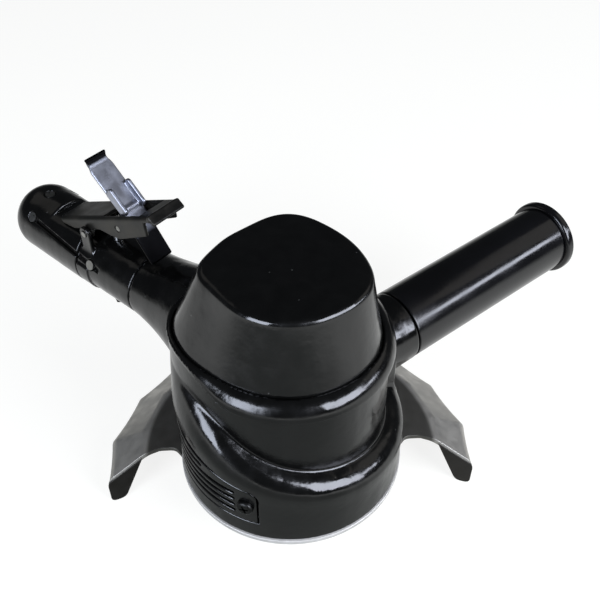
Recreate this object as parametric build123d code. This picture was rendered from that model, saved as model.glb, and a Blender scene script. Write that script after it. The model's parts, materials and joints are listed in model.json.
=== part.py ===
from build123d import *
import os
from math import atan2, cos, degrees, exp, hypot, pi, radians, sin, sqrt, tan

os.makedirs("parts", exist_ok=True)

# Vertical air grinder. Millimetres, +Z up along the spindle.
# The origin is on the spindle axis at the wheel seat, the lower face of the inner wheel flange.
# Azimuths are degrees about +Z from +X; the operator stands on the -Y side.

# Fits and clearances
FIT = 0.02
RUN = 0.04
SEAM = 0.15
GAP = 0.3
# Overrun of a cutting tool past the face that it opens
PAST = 1.0

# Spindle and wheel seat
NOSE_R = 7.94
NOSE_LENGTH = 18.0
NOSE_CHAMFER = 1.2
PILOT_R = 8.3
FLANGE_R = 21.0
FLANGE_H = 5.0
FLANGE_SEAT_W = 7.0
FLANGE_RELIEF = 0.8
FLANGE_CLEARANCE = 1.0
SHOULDER_R = 11.0
ROTOR_SHAFT_R = 9.0
PLATE_SHAFT_R = 7.5
LOCKNUT_R = 9.5
LOCKNUT_H = 5.0
LOCKNUT_NOTCHES = 4
LOCKNUT_NOTCH_W = 3.0
LOCKNUT_NOTCH_DEPTH = 2.0
SHAFT_END = 1.0

# Ball bearings
LOWER_BORE_R = 10.0
LOWER_OUTER_R = 23.5
LOWER_WIDTH = 14.0
LOWER_BALL_R = 3.9
UPPER_BORE_R = 6.0
UPPER_OUTER_R = 16.0
UPPER_WIDTH = 10.0
UPPER_BALL_R = 2.9
UPPER_BEARING_LAND = 1.0
BALLS = 8
RACE_SHARE = 0.3

# Arbor housing and seal
ARBOR_FLANGE_H = 9.0
ARBOR_RIM_WALL = 3.0
ARBOR_BOSS_WALL = 6.5
SEAL_R = 16.0
SEAL_LAND = 1.0

# Vane motor
BORE_R = 38.0
LINER_H = 43.6
LINER_BORE_R = 27.0
ECCENTRICITY = 3.0
ECCENTRIC_AZ = 320.0
ROTOR_CLEARANCE = 0.2
END_CLEARANCE = 0.3
PLATE_H = 6.0
PLATE_BOSS_WALL = 4.0
PLATE_SHAFT_CLEARANCE = 2.0
VANES = 5
VANE_T = 2.0
VANE_DEPTH = 12.0
KEY_W = 4.0
KEY_LENGTH = 20.0
PORT_R = 3.0
PORT_RISE = 5.0
PORT_AZIMUTHS = (205.0, 225.0, 245.0)

# Through bolts and dowels on one circle in the liner wall
BOLTS = 4
BOLT_CIRCLE_R = 33.6
BOLT_R = 2.5
BOLT_HEAD_R = 4.2
BOLT_HEAD_H = 4.5
BOLT_GRIP = 14.0
BOLT_BOSS_WALL = 3.2
BOLT_TIP_ROOM = 1.5
BOLT_FIRST_AZ = 10.0
DOWELS = 2
DOWEL_R = 1.5
DOWEL_INSET = 1.0
DOWEL_FIRST_AZ = 55.0

# Motor housing casting
SKIRT_R = 55.0
SKIRT_WALL = 4.5
SHOULDER_DEPTH = 8.0
SHOULDER_LOW_H = 11.0
SHOULDER_HIGH_H = 22.0
MID_FOOT_R = 50.0
MID_TOP_R = 47.0
BEAD_H = 8.0
LEDGE_DROP = 6.5
BORE_WALL = 3.0
CHAMBER_TOP = 28.0
# Scroll line: the height of the shoulder's crest as a cubic in the cosine of the azimuth
SCROLL_Z = 53.5
SCROLL_RISE = 18.0
SCROLL_BOW = 11.25
SCROLL_TWIST = 15.0
SCROLL_STEP = 20

# Upper housing: round with two soft corners, one to the side and one to the back
CAP_H = 41.0
CAP_FOOT_R = 40.0
CAP_TOP_R = 35.2
CAP_WALL = 4.5
CAP_ROOF = 5.0
CAP_EDGE_ROUND = 2.5
CAP_ROUND_STEPS = (30, 60, 90)
SIDE_CORNER_AZ = 176.0
SIDE_CORNER_FOOT = 13.0
SIDE_CORNER_TOP = 4.0
BACK_CORNER_AZ = 96.0
BACK_CORNER_FOOT = 6.0
BACK_CORNER_TOP = 2.5
CAP_CORNER_SPREAD = 24.0
CAP_OUTLINE_STEP = 15
GASKET_H = 0.7

# Exhaust window and louvre cover
FRONT_AZ = 270.0
COVER_FROM_AZ = 196.0
COVER_TO_AZ = 254.5
COVER_FOOT_Z = 14.0
COVER_T = 2.4
COVER_TOP_RIGHT_Z = 36.0
COVER_TOP_LEFT_Z = 43.0
COVER_CORNER_R = 4.0
VENT_TOP_LEFT_Z = 48.0
VENT_TO_AZ = 240.0
VENT_DEPTH = 7.0
WINDOW_MARGIN_AZ = 3.5
WINDOW_MARGIN_Z = 3.0
LOUVRES = 5
LOUVRE_PITCH = 4.6
LOUVRE_W = 2.0
LOUVRE_FOOT = 5.0
LOUVRE_FROM_AZ = 201.0
LOUVRE_TO_AZ = 243.0
LOUVRE_SHORT_TO_AZ = 223.0
COVER_SCREW_AZ = 248.8
COVER_SCREW_Z = 26.0
COVER_SCREW_R = 2.0
COVER_SCREW_HEAD_R = 4.0
COVER_SCREW_HEAD_H = 2.2
CROSS_W = 1.0
CROSS_DEPTH = 1.2
CROSS_TURN = 20.0
MUFFLER_FILL = 0.42
MUFFLER_MARGIN_AZ = 1.5
MUFFLER_HEADROOM = 2.0

# Wheel guard sheet
GUARD_T = 2.5
GUARD_RING_IN_R = 46.0
GUARD_RING_R = 55.6
GUARD_PLATE_R = 75.5
GUARD_RIM_R = 96.0
GUARD_RIM_DROP = 13.5
GUARD_END_RISE = 4.0
GUARD_LIP_DROP = 27.0
GUARD_TURN = 3.5
GUARD_FOLD = 20.0
GUARD_SIDE_FOLDS = 5
GUARD_END_X = 66.0
GUARD_END_Y = 1.5
GUARD_END_FLARE = 0.36
GUARD_NOTCH_R = 5.0
GUARD_TAB_START = 2.75
GUARD_TAB_FOOT = 6.0
GUARD_TAB_ROUND = 2.5
RETAINER_IN_R = 38.0
RETAINER_LIP = 3.5
RETAINER_LIP_H = 3.0
GUARD_SCREWS = 4
GUARD_SCREW_FIRST_AZ = 45.0
GUARD_SCREW_R = 2.0
GUARD_SCREW_HEAD_R = 3.4
GUARD_SCREW_HEAD_H = 2.0
GUARD_SCREW_GRIP = 5.0
SCREW_SLOT_W = 0.9
SCREW_SLOT_DEPTH = 0.8

# Dead handle, by distance S from the spindle axis
DEAD_AZ = 38.3
DEAD_Z = 46.5
PAD_S = 50.0
PAD_R = 20.5
PAD_FOOT_Z = 24.0
COLLAR_R = 18.6
COLLAR_END_S = 67.5
COLLAR_ROUND = 1.5
COLLAR_NECK = 9.0
GRIP_R = 18.4
GRIP_WALL = 3.0
GRIP_SEAM = 0.6
GRIP_END_S = 179.0
END_FLANGE_R = 21.0
END_FLANGE_T = 5.0
END_FLANGE_ROUND = 2.2
END_PLUG = 10.0
END_DOME = 3.0
END_DOME_INSET = 3.0
STUD_R = 6.0
STUD_FROM_S = 41.5
STUD_TAIL = 4.0
STUD_NUT_R = 10.2
STUD_NUT_H = 6.0
WEB_S = 92.0
WEB_T = 2.5

# Throttle handle, by distance S from the spindle axis
THROTTLE_AZ = 140.0
THROTTLE_Z = 60.0
HANDLE_R = 17.5
ROOT_S = 36.0
ROOT_W = 30.0
ROOT_H = 43.0
ROOT_DROP = 8.0
ROOT_WAIST_S = 64.0
ROOT_WAIST_W = 21.5
ROOT_WAIST_H = 25.5
ROOT_WAIST_DROP = 1.5
HANDLE_S = 92.0
SPIGOT_R = 12.0
SPIGOT_LENGTH = 12.0
END_S = 132.0
END_R = 18.4
END_TIP_S = 189.0
END_FACE_R = 11.5
END_ROUND = 13.0
TAIL_ROOM = 6.0
INLET_R = 7.3
INLET_OUT_R = 10.0
INLET_LENGTH = 18.0
SCREEN_R = 8.3
SCREEN_T = 1.2
SCREEN_HOLE_R = 1.2
SCREEN_PITCH = 4.0
AIR_R = 5.0
AIR_IN_DROP = 7.0
AIR_OUT_RISE = 6.0
# Flank screws: distance S and angle above the level, near and far end of the flank groove
NEAR_SCREW_S = 121.5
NEAR_SCREW_RISE = 22.5
FAR_SCREW_S = 170.0
FAR_SCREW_RISE = 40.7
TOP_SCREW_S = 171.0
END_SCREW_R = 2.6
END_SCREW_DEPTH = 3.4
END_SCREW_PROUD = 0.6
END_GROOVE_W = 2.0
END_GROOVE_DEPTH = 1.4
END_GROOVE_PAST = 6.0

# Throttle valve
STEM_S = 116.0
STEM_R = 2.5
VALVE_BORE_R = 8.0
VALVE_CHAMBER_R = 6.0
SEAT_Z = 63.0
SEAT_H = 3.0
SEAT_HOLE_R = 3.8
BALL_R = 5.0
UPPER_CHAMBER_H = 4.0
CAP_PLUG_TOP_Z = 47.0
CAP_HEAD_R = 9.5
CAP_HEAD_H = 2.7
SPRING_R = 4.2
SPRING_WIRE_R = 0.5
SPRING_TURNS = 3
ORING_R = 1.2
ORING_Z = 73.0

# Throttle lever, in its own side view: X outward along the lever, Y up, origin at its pivot
LEVER_PIVOT_S = 126.0
LEVER_PIVOT_Z = 82.8
LEVER_SLOPE = 27.0
LEVER_T = 1.8
LEVER_TOP = 8.0
LEVER_W = 20.4
LEVER_TAIL = 25.5
LEVER_FREE = 62.0
LEVER_EAR_R = 3.4
LEVER_END_LIP = 3.6
FLANGE_TAIL = (13.0, 1.6)
FLANGE_WAIST = (-12.0, 1.0)
FLANGE_DIP = (-20.5, -2.4)
FLANGE_BELLY = (-27.0, -4.2)
FLANGE_HEEL = (-52.0, -2.2)
FLANGE_END = 55.0
SLOT_FROM = 19.0
SLOT_TO = 50.5
SLOT_CLEARANCE = 1.2
LEVER_PIN_R = 1.6
LEVER_PIN_PROUD = 0.5
CHEEK_R = 3.8
CHEEK_T = 2.4
CHEEK_H = 13.0

# Lock lever, same side view
LOCK_PIVOT = (-29.1, 1.7)
LOCK_LIP = (-22.6, 35.8)
LOCK_TIP = (-22.1, 33.4)
LOCK_BASE = (-32.5, 8.5)
LOCK_KNEE = (-34.0, 0.8)
LOCK_FOOT = (-38.3, -19.5)
LOCK_T = 1.8
LOCK_W = 13.0
LOCK_EAR_FROM = 3.0
LOCK_EAR_TO = 14.0
LOCK_EAR_REACH = 5.0
LOCK_EAR_R = 2.0
LOCK_HUB_R = 3.4
LOCK_HUB_W = 7.0
LOCK_PIN_R = 1.6
LOCK_PIN_PROUD = 0.6
LOCK_SPRING_R = 2.7
LOCK_SPRING_WIRE_R = 0.45
LOCK_SPRING_TURNS = 3

# Heights that follow from the stack of pieces on the spindle
skirt_foot_z = GUARD_T + GAP
arbor_z = skirt_foot_z
arbor_top_z = arbor_z + ARBOR_FLANGE_H
lower_bearing_z = arbor_top_z
lower_plate_z = lower_bearing_z + LOWER_WIDTH + GAP
liner_z = lower_plate_z + PLATE_H
upper_plate_z = liner_z + LINER_H
upper_plate_top_z = upper_plate_z + PLATE_H
upper_bearing_z = upper_plate_top_z + UPPER_BEARING_LAND
ledge_z = upper_plate_top_z + GAP
cap_z = ledge_z + GASKET_H
mid_top_z = ledge_z + LEDGE_DROP
cap_top_z = cap_z + CAP_H
rotor_z = liner_z + END_CLEARANCE
rotor_h = LINER_H - 2 * END_CLEARANCE

# Radii and places that follow from shared walls
arbor_flange_r = SKIRT_R - ARBOR_RIM_WALL
chamber_in_r = BORE_R + BORE_WALL
chamber_out_r = SKIRT_R - SKIRT_WALL
liner_r = BORE_R - FIT
rotor_r = LINER_BORE_R - ECCENTRICITY - ROTOR_CLEARANCE
bolt_hole_r = BOLT_R + GAP
grip_in_r = GRIP_R - GRIP_WALL
web_end_s = WEB_S + WEB_T
inlet_s = END_TIP_S - INLET_LENGTH
end_round_s = END_TIP_S - END_ROUND
cheek_mid = LEVER_W / 2 + GAP + CHEEK_T / 2
muffler_t = MUFFLER_FILL * (chamber_out_r - chamber_in_r)
ball_z = SEAT_Z - sqrt(BALL_R ** 2 - SEAT_HOLE_R ** 2) - RUN

UP = (Align.CENTER, Align.CENTER, Align.MIN)
OUT = (Align.MIN, Align.CENTER, Align.MIN)


def polar(r, az, z=0.0):
    """Point at radius r and azimuth az."""
    return Vector(r * cos(radians(az)), r * sin(radians(az)), z)


def disc(r, z, h):
    """Plain disc on the spindle axis with its lower face at z."""
    return Pos(0, 0, z) * Cylinder(r, h, align=UP)


def ring(r_out, r_in, z, h):
    """Plain ring on the spindle axis."""
    return disc(r_out, z, h) - disc(r_in, z, h)


def turned(points):
    """Solid of revolution about the spindle axis from a closed outline of (radius, height) points."""
    return revolve(Plane.XZ * make_face(Polyline(*points, close=True)), Axis.Z)


def sector(r_in, r_out, z, h, from_az, to_az):
    """Part of a ring between two azimuths."""
    outline = Pos((r_in + r_out) / 2, z + h / 2) * Rectangle(r_out - r_in, h)
    return Rot(0, 0, from_az) * revolve(Plane.XZ * outline, Axis.Z, to_az - from_az)


def handle_plane(az, z):
    """Plane across a handle: its normal runs outward along the handle, local Y is up."""
    across = (-sin(radians(az)), cos(radians(az)), 0)
    return Plane(origin=(0, 0, z), x_dir=across, z_dir=(cos(radians(az)), sin(radians(az)), 0))


DEAD = handle_plane(DEAD_AZ, DEAD_Z)
THROTTLE = handle_plane(THROTTLE_AZ, THROTTLE_Z)

# Side view of the throttle handle: local X outward, local Y up, local Z across
THROTTLE_SIDE = Plane(
    origin=(0, 0, 0),
    x_dir=(cos(radians(THROTTLE_AZ)), sin(radians(THROTTLE_AZ)), 0),
    z_dir=(sin(radians(THROTTLE_AZ)), -cos(radians(THROTTLE_AZ)), 0),
)
LEVER_VIEW = THROTTLE_SIDE * Pos(LEVER_PIVOT_S, LEVER_PIVOT_Z, 0) * Rot(0, 0, -LEVER_SLOPE)


def rod(plane, r, s, length, x=0.0, y=0.0):
    """Round bar along a handle from distance s outward."""
    return plane * Pos(x, y, s) * Cylinder(r, length, align=UP)


def slab(view, outline, width, across=0.0):
    """Plate cut to a side-view outline, with its width centred on the given offset across."""
    return view * extrude(Pos(0, 0, across - width / 2) * outline, width)


def spots(r, count, first_az):
    """Places spaced evenly round a circle."""
    return [polar(r, first_az + i * 360 / count) for i in range(count)]


def bolt_spots():
    """Places of the through bolts."""
    return spots(BOLT_CIRCLE_R, BOLTS, BOLT_FIRST_AZ)


def radial_bar(az, r_in, r_out, z, bar_r):
    """Round bar square to the spindle between two radii."""
    return Rot(0, 0, az) * Pos(r_in, 0, z) * Rot(0, 90, 0) * Cylinder(bar_r, r_out - r_in, align=UP)


def cap_outline(r, corners, z):
    """Closed outline of the upper housing: a circle with two soft corners that swell by their given rise."""
    points = []
    for az in range(0, 360, CAP_OUTLINE_STEP):
        swell = 0.0
        for corner_az, rise in corners:
            off = (az - corner_az + 180) % 360 - 180
            swell += rise * exp(-((off / CAP_CORNER_SPREAD) ** 2))
        points.append(polar(r + swell, az, z))
    return make_face(Spline(*points, periodic=True))


def cap_section(z, grow):
    """Outline of the upper housing at a height, grown sideways by a margin."""
    share = (z - cap_z) / CAP_H
    radius = CAP_FOOT_R + share * (CAP_TOP_R - CAP_FOOT_R) + grow
    side_rise = SIDE_CORNER_FOOT + share * (SIDE_CORNER_TOP - SIDE_CORNER_FOOT)
    back_rise = BACK_CORNER_FOOT + share * (BACK_CORNER_TOP - BACK_CORNER_FOOT)
    return cap_outline(radius, [(SIDE_CORNER_AZ, side_rise), (BACK_CORNER_AZ, back_rise)], z)


def cap_solid(grow, z_low, z_high, edge_round=0.0):
    """Drawn-in body of the upper housing between two heights, with a rounded top edge if one is given."""
    sections = [cap_section(z_low, grow), cap_section(z_high - edge_round, grow)]
    if edge_round:
        for angle in CAP_ROUND_STEPS:
            rise = edge_round * (1 - sin(radians(angle)))
            inset = edge_round * (1 - cos(radians(angle)))
            sections.append(cap_section(z_high - rise, grow - inset))
    return loft(sections, ruled=True)


def scroll_crest(az):
    """Height of the shoulder's crest at an azimuth; it rises to the throttle side."""
    side = cos(radians(az))
    return SCROLL_Z - SCROLL_RISE * side + SCROLL_BOW * side ** 2 - SCROLL_TWIST * side ** 3


def scroll_section(az):
    """Section of the skirt at an azimuth: upright wall under a quarter-ellipse shoulder."""
    throttle_side = (1 - cos(radians(az))) / 2
    height = SHOULDER_LOW_H + throttle_side * (SHOULDER_HIGH_H - SHOULDER_LOW_H)
    crest = scroll_crest(az)
    start = SKIRT_R - SHOULDER_DEPTH
    inner = BORE_R + PAST
    shoulder = EllipticalCenterArc((start, crest - height), SHOULDER_DEPTH, height, arc_size=90)
    wall = Polyline((start, crest), (inner, crest), (inner, skirt_foot_z), (SKIRT_R, skirt_foot_z),
                    (SKIRT_R, crest - height))
    radial = Plane(origin=(0, 0, 0), x_dir=polar(1, az), z_dir=polar(1, az - 90))
    return radial * make_face(shoulder + wall)


def scroll_skirt():
    """Skirt of the motor housing: two half turns of the rising section."""
    front = loft([scroll_section(az) for az in range(180, 361, SCROLL_STEP)])
    back = loft([scroll_section(az) for az in range(0, 181, SCROLL_STEP)])
    return front + back


def mid_wall():
    """Tapered middle wall with its rounded upper shoulder."""
    bead_z = mid_top_z - BEAD_H
    top_r = CAP_FOOT_R + GAP
    bead = TangentArc((MID_TOP_R, bead_z), (top_r, mid_top_z), tangent=(0, 1))
    rest = Polyline((top_r, mid_top_z), (0, mid_top_z), (0, arbor_top_z), (MID_FOOT_R, arbor_top_z),
                    (MID_TOP_R, bead_z))
    return revolve(Plane.XZ * make_face(bead + rest), Axis.Z)


def throttle_root():
    """Flared root that carries the throttle handle."""
    sections = [
        THROTTLE * Pos(0, -ROOT_DROP, ROOT_S) * Ellipse(ROOT_W, ROOT_H),
        THROTTLE * Pos(0, -ROOT_WAIST_DROP, ROOT_WAIST_S) * Ellipse(ROOT_WAIST_W, ROOT_WAIST_H),
        THROTTLE * Pos(0, 0, HANDLE_S) * Circle(HANDLE_R),
    ]
    return loft(sections)


def dead_pad():
    """Flat-faced pad on the side of the housing that the dead handle's collar seats on."""
    start = BORE_R + BORE_WALL / 2
    round_top = rod(DEAD, PAD_R, start, PAD_S - start)
    depth = DEAD_Z - PAD_FOOT_Z
    skirt = DEAD * Pos(0, -depth / 2, start) * Box(2 * PAD_R, depth, PAD_S - start, align=UP)
    return round_top + skirt


def cover_corner(az, z):
    """Point of the louvre cover's outline as seen from the front."""
    return polar(SKIRT_R, az).X, z


def cover_blank(grow, r_in, r_out):
    """Piece of wall with the louvre cover's outline, grown by a margin; its top edge rises to the left."""
    foot_z = COVER_FOOT_Z - grow
    from_az = COVER_FROM_AZ - degrees(grow / SKIRT_R)
    blank = sector(r_in, r_out, foot_z, COVER_TOP_LEFT_Z + grow - foot_z, from_az, FRONT_AZ)
    left_x, left_z = cover_corner(COVER_FROM_AZ, COVER_TOP_LEFT_Z + grow)
    right_x, right_z = cover_corner(COVER_TO_AZ, COVER_TOP_RIGHT_Z + grow)
    right_x += grow
    front = make_face(Polyline(
        (-2 * SKIRT_R, left_z), (left_x, left_z), (right_x, right_z), (right_x, foot_z - PAST),
        (-2 * SKIRT_R, foot_z - PAST), close=True))
    corner = front.vertices().sort_by_distance(Vector(right_x, right_z))[0]
    front = fillet(corner, COVER_CORNER_R + grow)
    return blank & extrude(Plane.XZ * front, 2 * SKIRT_R)


def vent_wedge():
    """Wedge-shaped slot between the top edge of the louvre cover and the shoulder, open at the left."""
    low = cover_corner(COVER_FROM_AZ, COVER_TOP_LEFT_Z)
    high = cover_corner(COVER_FROM_AZ, VENT_TOP_LEFT_Z)
    right_x, right_z = cover_corner(COVER_TO_AZ, COVER_TOP_RIGHT_Z)
    tip_x = polar(SKIRT_R, VENT_TO_AZ).X
    tip_z = right_z + (low[1] - right_z) * (tip_x - right_x) / (low[0] - right_x)
    wall = sector(SKIRT_R - VENT_DEPTH, SKIRT_R + PAST, right_z, high[1] - right_z, COVER_FROM_AZ, FRONT_AZ)
    return wall & extrude(Plane.XZ * make_face(Polyline(low, high, (tip_x, tip_z), close=True)), 2 * SKIRT_R)


def exhaust_ports():
    """Radial bars through the bore wall and the liner where the motor breathes out."""
    start = LINER_BORE_R - 2 * ECCENTRICITY
    return [radial_bar(az, start, chamber_in_r + PAST, liner_z + PORT_RISE, PORT_R) for az in PORT_AZIMUTHS]


def motor_housing():
    """Main casting, with the motor bore, exhaust chamber, air passage and all its seats."""
    body = mid_wall() + scroll_skirt() + throttle_root() + dead_pad()
    body -= cap_solid(GAP, ledge_z, cap_top_z + PAST)
    body -= disc(BORE_R, 0, ledge_z + PAST)
    body -= disc(arbor_flange_r + FIT, 0, arbor_top_z)
    chamber_z = arbor_top_z - PAST
    body -= ring(chamber_out_r, chamber_in_r, chamber_z, CHAMBER_TOP - chamber_z)
    body -= sector(chamber_in_r, chamber_out_r, chamber_z, COVER_TOP_RIGHT_Z + PAST - chamber_z,
                   COVER_FROM_AZ, COVER_TO_AZ)
    body -= cover_blank(SEAM, SKIRT_R - COVER_T - SEAM, SKIRT_R + PAST)
    body -= vent_wedge()
    window_h = COVER_TOP_RIGHT_Z - COVER_FOOT_Z - 2 * WINDOW_MARGIN_Z
    body -= sector(chamber_out_r - PAST, SKIRT_R, COVER_FOOT_Z + WINDOW_MARGIN_Z, window_h,
                   COVER_FROM_AZ + WINDOW_MARGIN_AZ, LOUVRE_TO_AZ)
    for port in exhaust_ports():
        body -= port
    spigot_s = HANDLE_S - SPIGOT_LENGTH - GAP
    body -= rod(THROTTLE, SPIGOT_R + FIT, spigot_s, SPIGOT_LENGTH + GAP + PAST)
    body -= rod(THROTTLE, AIR_R, BORE_R / 2, spigot_s + PAST - BORE_R / 2, y=AIR_OUT_RISE)
    body -= rod(DEAD, STUD_R + FIT, STUD_FROM_S - GAP, PAD_S)
    body -= rod(DEAD, COLLAR_R + GAP, PAD_S, COLLAR_END_S - PAD_S)
    body -= radial_bar(COVER_SCREW_AZ, chamber_out_r - PAST, SKIRT_R, COVER_SCREW_Z, COVER_SCREW_R + FIT)
    return body


def upper_housing():
    """Drawn-in cap with a flat top, hollow, with blind bosses for the through bolts."""
    shell = cap_solid(0, cap_z, cap_top_z, CAP_EDGE_ROUND)
    hollow = cap_solid(-CAP_WALL, cap_z - PAST, cap_top_z - CAP_ROOF)
    boss_h = BOLT_GRIP + BOLT_TIP_ROOM + BOLT_BOSS_WALL
    for spot in bolt_spots():
        hollow -= Pos(spot.X, spot.Y, cap_z) * Cylinder(BOLT_R + BOLT_BOSS_WALL, boss_h, align=UP)
        hollow -= Pos(spot.X, spot.Y, cap_z - 2 * PAST) * Cylinder(
            BOLT_R + BOLT_BOSS_WALL, 2 * PAST, align=UP)
    shell -= hollow
    for spot in bolt_spots():
        shell -= Pos(spot.X, spot.Y, cap_z - PAST) * Cylinder(
            BOLT_R + FIT, BOLT_GRIP + BOLT_TIP_ROOM + PAST, align=UP)
    return shell


def housing_gasket():
    """Flat gasket between the two housings, following the cap's foot."""
    sheet = Pos(0, 0, -GASKET_H) * cap_solid(0, cap_z, cap_z + GASKET_H)
    return sheet - disc(BORE_R - PAST, 0, cap_top_z)


def through_bolts():
    """Socket-head bolts that clamp arbor housing, motor and upper housing together."""
    head_z = arbor_z + GAP
    shank_h = cap_z + BOLT_GRIP - head_z - BOLT_HEAD_H
    head = Cylinder(BOLT_HEAD_R, BOLT_HEAD_H, align=UP) - extrude(RegularPolygon(BOLT_R, 6), BOLT_HEAD_H / 2)
    bolt = head + Pos(0, 0, BOLT_HEAD_H) * Cylinder(BOLT_R, shank_h, align=UP)
    return [Pos(spot.X, spot.Y, head_z) * bolt for spot in bolt_spots()]


def motor_dowels(grow=0.0):
    """Pins that line up the end plates and the liner, grown by a margin."""
    length = LINER_H + 2 * PLATE_H - 2 * DOWEL_INSET + 2 * grow
    pin = Cylinder(DOWEL_R + grow, length, align=UP)
    z = lower_plate_z + DOWEL_INSET - grow
    return [Pos(spot.X, spot.Y, z) * pin for spot in spots(BOLT_CIRCLE_R, DOWELS, DOWEL_FIRST_AZ)]


def with_bolt_holes(piece):
    """Piece of the motor stack with the clearance holes for bolts and dowels."""
    for spot in bolt_spots():
        piece -= Pos(spot.X, spot.Y, 0) * Cylinder(bolt_hole_r, cap_top_z, align=UP)
    for dowel in motor_dowels(FIT):
        piece -= dowel
    return piece


def cylinder_liner():
    """Motor cylinder with its bore set off the spindle axis."""
    away = polar(ECCENTRICITY, ECCENTRIC_AZ)
    liner = disc(liner_r, liner_z, LINER_H) - Pos(away.X, away.Y, 0) * disc(LINER_BORE_R, 0, cap_top_z)
    for port in exhaust_ports():
        liner -= port
    liner -= rod(THROTTLE, AIR_R, BORE_R / 2, BORE_R, y=AIR_OUT_RISE)
    return with_bolt_holes(liner)


def lower_end_plate():
    """Plate that closes the motor cylinder below and keeps the lower bearing down."""
    return with_bolt_holes(ring(liner_r, ROTOR_SHAFT_R + PLATE_SHAFT_CLEARANCE, lower_plate_z, PLATE_H))


def upper_end_plate():
    """Plate that closes the motor cylinder above, with the boss of the upper bearing."""
    plate = disc(liner_r, upper_plate_z, PLATE_H)
    boss_h = upper_bearing_z + UPPER_WIDTH - upper_plate_z
    plate += disc(UPPER_OUTER_R + PLATE_BOSS_WALL, upper_plate_z, boss_h)
    plate -= disc(UPPER_OUTER_R + FIT, upper_bearing_z, UPPER_WIDTH + PAST)
    plate -= disc(PLATE_SHAFT_R + GAP, 0, cap_top_z)
    return with_bolt_holes(plate)


def arbor_housing():
    """Bottom cover: flange, boss of the lower bearing, seal seat and bolt counterbores."""
    height = lower_plate_z - arbor_z
    body = disc(arbor_flange_r, arbor_z, ARBOR_FLANGE_H)
    body += disc(LOWER_OUTER_R + ARBOR_BOSS_WALL, arbor_z, height)
    body += ring(liner_r - GAP, BOLT_CIRCLE_R - BOLT_HEAD_R, arbor_z, height)
    body -= disc(LOWER_OUTER_R + FIT, lower_bearing_z, LOWER_WIDTH + PAST)
    body -= disc(FLANGE_R + FLANGE_CLEARANCE, 0, FLANGE_H + FLANGE_CLEARANCE)
    body -= disc(SEAL_R + FIT, 0, lower_bearing_z - SEAL_LAND)
    body -= disc(SHOULDER_R + FLANGE_CLEARANCE, 0, lower_bearing_z + PAST)
    for spot in bolt_spots():
        body -= Pos(spot.X, spot.Y, 0) * Cylinder(bolt_hole_r, cap_top_z, align=UP)
        body -= Pos(spot.X, spot.Y, 0) * Cylinder(BOLT_HEAD_R + GAP, arbor_z + GAP + BOLT_HEAD_H, align=UP)
    for spot in guard_screw_spots():
        body -= Pos(spot.X, spot.Y, 0) * Cylinder(
            GUARD_SCREW_R + FIT, arbor_z + GUARD_SCREW_GRIP + GAP, align=UP)
    return body


def spindle_seal():
    """Lip seal round the spindle shoulder."""
    z = FLANGE_H + FLANGE_CLEARANCE + GAP
    return ring(SEAL_R, SHOULDER_R + RUN, z, lower_bearing_z - SEAL_LAND - SEAM - z)


def bearing(bore_r, outer_r, width, ball_r, z):
    """Deep-groove ball bearing: outer race, inner race and balls as three pieces."""
    pitch_r = (bore_r + outer_r) / 2
    mid = z + width / 2
    land = RACE_SHARE * (outer_r - bore_r)
    groove = Pos(0, 0, mid) * Torus(pitch_r, ball_r + RUN)
    outer = ring(outer_r, outer_r - land, z, width) - groove
    inner = ring(bore_r + land, bore_r, z, width) - groove
    balls = [Pos(spot.X, spot.Y, mid) * Sphere(ball_r) for spot in spots(pitch_r, BALLS, 0)]
    return outer, inner, balls


def key_box(grow):
    """Key between spindle and rotor, grown by a margin."""
    size = KEY_W + 2 * grow
    mid_z = liner_z + LINER_H / 2
    return Pos(ROTOR_SHAFT_R, 0, mid_z) * Box(size, size, KEY_LENGTH + 2 * grow)


def spindle():
    """Stepped spindle from the locknut thread down to the wheel thread."""
    top_z = upper_bearing_z + UPPER_WIDTH + LOCKNUT_H + SHAFT_END
    lower_r = LOWER_BORE_R - FIT
    upper_r = UPPER_BORE_R - FIT
    rotor_end_z = upper_plate_z - END_CLEARANCE
    shaft = turned([
        (0, -NOSE_LENGTH), (NOSE_R - NOSE_CHAMFER, -NOSE_LENGTH), (NOSE_R, NOSE_CHAMFER - NOSE_LENGTH),
        (NOSE_R, 0), (PILOT_R, 0), (PILOT_R, FLANGE_H), (SHOULDER_R, FLANGE_H), (SHOULDER_R, lower_bearing_z),
        (lower_r, lower_bearing_z), (lower_r, lower_plate_z), (ROTOR_SHAFT_R, lower_plate_z),
        (ROTOR_SHAFT_R, rotor_end_z), (PLATE_SHAFT_R, rotor_end_z), (PLATE_SHAFT_R, upper_bearing_z),
        (upper_r, upper_bearing_z), (upper_r, top_z), (0, top_z)])
    return shaft - key_box(FIT)


def vane_az(i):
    """Azimuth of a vane; the first stands half a step from the key."""
    return (i + 0.5) * 360 / VANES


def rotor():
    """Slotted rotor."""
    body = ring(rotor_r, ROTOR_SHAFT_R + FIT, rotor_z, rotor_h) - key_box(FIT)
    slot = Pos(rotor_r - VANE_DEPTH - GAP, 0, rotor_z) * Box(
        VANE_DEPTH + GAP + PAST, VANE_T + 2 * RUN, rotor_h, align=OUT)
    for i in range(VANES):
        body -= Rot(0, 0, vane_az(i)) * slot
    return body


def vanes():
    """Flat vanes, drawn in to the rotor's rim."""
    blade = Pos(rotor_r - VANE_DEPTH - SEAM, 0, rotor_z) * Box(VANE_DEPTH, VANE_T, rotor_h, align=OUT)
    return [Rot(0, 0, vane_az(i)) * blade for i in range(VANES)]


def inner_wheel_flange():
    """Backing flange that the wheel seats on, relieved in the middle of its seat."""
    flange = ring(FLANGE_R, PILOT_R + FIT, 0, FLANGE_H)
    return flange - disc(FLANGE_R - FLANGE_SEAT_W, 0, FLANGE_RELIEF)


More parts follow.
